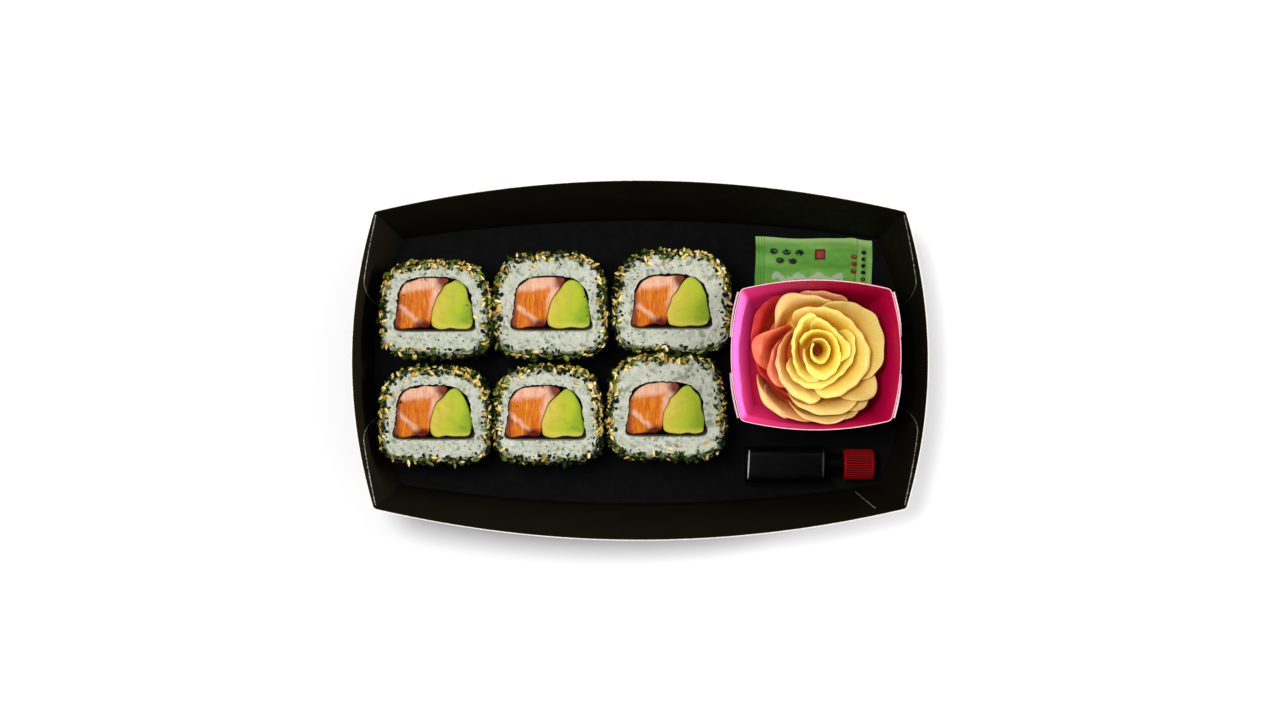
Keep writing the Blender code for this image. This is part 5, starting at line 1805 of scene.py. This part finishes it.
outside = body_run(0.0, NECK_RADIUS, NECK_END)
inside = body_run(BOTTLE_WALL, NECK_RADIUS - BOTTLE_WALL, NECK_END)
points, faces = skin(np.array(outside + inside[::-1]))
new_piece("bottle_shell", points, faces, clear_material(), ["soy_bottle"], "clear_plastic", 50.0)
sauce_gap = BOTTLE_WALL - SAUCE_REACH
sauce_loops = body_run(sauce_gap, NECK_RADIUS - BOTTLE_WALL + SAUCE_REACH, NECK_END - 5.0)
points, faces = skin(np.array(sauce_loops))
new_piece("bottle_sauce", points, faces, sauce_material(), ["soy_sauce"], "soy_sauce", 50.0)


# For each ridge: where it starts and ends along X, its half width and the brightness of its painted glint.
RIDGES = ((40.5, 39.9, 0.25, 1.0), (68.0, 67.8, 0.35, 0.07))
RIDGE_SINK = 0.03


def ridge(x_start, x_end, width):
    """A thin raised ridge across the bottle's upper side, a low arch over a straight line."""
    u = np.linspace(0, 1, 40)[:, None]
    w = np.linspace(-1, 1, 7)[None, :]
    y = 5.3 - 10.6 * u
    level = (BOTTLE_DEPTH / 2 - RIDGE_SINK) * (1 - np.abs(y / (BOTTLE_WIDTH / 2)) ** 5) ** 0.2
    taper = np.sin(np.pi * np.clip(u, 0.03, 0.97)) ** 0.4
    x = x_start + (x_end - x_start) * u + w * width * taper
    z = BOTTLE_Z + level + 0.06 * (1 - w**2)
    grids = []
    for drop in (0.0, -0.12):
        grids.append(np.stack(np.broadcast_arrays(x, BOTTLE_Y + y, z + drop), axis=-1))
    return thin_sheet(*grids), u + 0 * w


ridges = [ridge(*row[:3]) for row in RIDGES]
points, faces = join([part[0] for part in ridges])
ridge_piece = new_piece("bottle_glint_ridges", points, faces, ridge_material(), [], "clear_plastic", 50.0)
ridge_tones = [row[3] * (1 - 0.4 * part[1]) for row, part in zip(RIDGES, ridges)]
store(ridge_piece, "tone", np.concatenate([np.tile(tone.ravel(), 2) for tone in ridge_tones]))
print("bottle, sauce and ridges")

# %% [markdown]
# The cap is a cup with fine ribs for the fingers. Its radius is a circle with a rounded
# square wave on it, which dies away at both ends of the cap.

# %% The cap
CAP_RIBS = 36
CAP_ROUND = CAP_RIBS * 8
RIB_DEPTH = 0.34
cap_angles = full_turn(CAP_ROUND)
cap_wave = 0.5 - 0.5 * np.tanh(3 * np.cos(CAP_RIBS * cap_angles))


def cap_loop(x, radius, rib):
    """A ribbed circle: radius - rib * (0.5 - 0.5 * tanh(3 cos(ribs * angle)))."""
    reach = radius - rib * cap_wave
    y = BOTTLE_Y + reach * np.cos(cap_angles)
    z = BOTTLE_Z + reach * np.sin(cap_angles)
    return np.column_stack([np.full(CAP_ROUND, x), y, z])


# x, radius and rib depth of each loop, from inside the bore round to the end
cap_rows = [(CAP_END - 1.4, NECK_RADIUS + 0.5, 0.0), (CAP_START, NECK_RADIUS + 0.5, 0.0)]
cap_rows += [(CAP_START, CAP_RADIUS - 0.35, 0.0), (CAP_START + 0.25, CAP_RADIUS - 0.1, 0.0)]
cap_rows += [(CAP_START + 0.8, CAP_RADIUS - 0.1, 0.0), (CAP_START + 1.0, CAP_RADIUS, RIB_DEPTH)]
cap_rows += [(CAP_END - 1.1, CAP_RADIUS, RIB_DEPTH), (CAP_END - 0.8, CAP_RADIUS - 0.1, 0.0)]
for a in np.linspace(0.2, np.pi / 2, 6):
    cap_rows.append((CAP_END - 0.7 + 0.7 * math.sin(a), CAP_RADIUS - 0.8 + 0.7 * math.cos(a), 0.0))
points, faces = skin(np.array([cap_loop(*row) for row in cap_rows]))
cap = new_piece("bottle_cap", points, faces, cap_material(), ["soy_cap"], "red_plastic", 50.0)
grooves = np.array([row[2] / RIB_DEPTH for row in cap_rows])[:, None] * cap_wave[None, :]
store(cap, "groove", np.append(grooves.ravel(), [0.0, 0.0]))
print("cap", len(faces), "faces")

# %% [markdown]
# ## The floor
#
# A plain pale surface carries the tray and its soft shadow. It isn't part of the object.

# %% The floor
FLOOR_REACH = 3.0

floor_mesh = bpy.data.meshes.new("floor")
floor_corners = [(x * FLOOR_REACH, y * FLOOR_REACH, 0) for x, y in ((-1, -1), (1, -1), (1, 1), (-1, 1))]
floor_mesh.from_pydata(floor_corners, [], [(0, 1, 2, 3)])
floor = bpy.data.objects.new("floor", floor_mesh)
scene.collection.objects.link(floor)
pale, pale_tree, pale_shader = new_material("pale_floor", 0.9)
floor_cloud = noise(pale_tree, object_place(pale_tree), 3.0)
floor_tone = mix(pale_tree, floor_cloud, srgb(250, 250, 250), srgb(254, 254, 254))
feed(pale_tree, pale_shader, Base_Color=floor_tone)
floor_mesh.materials.append(pale)
print("floor ready")
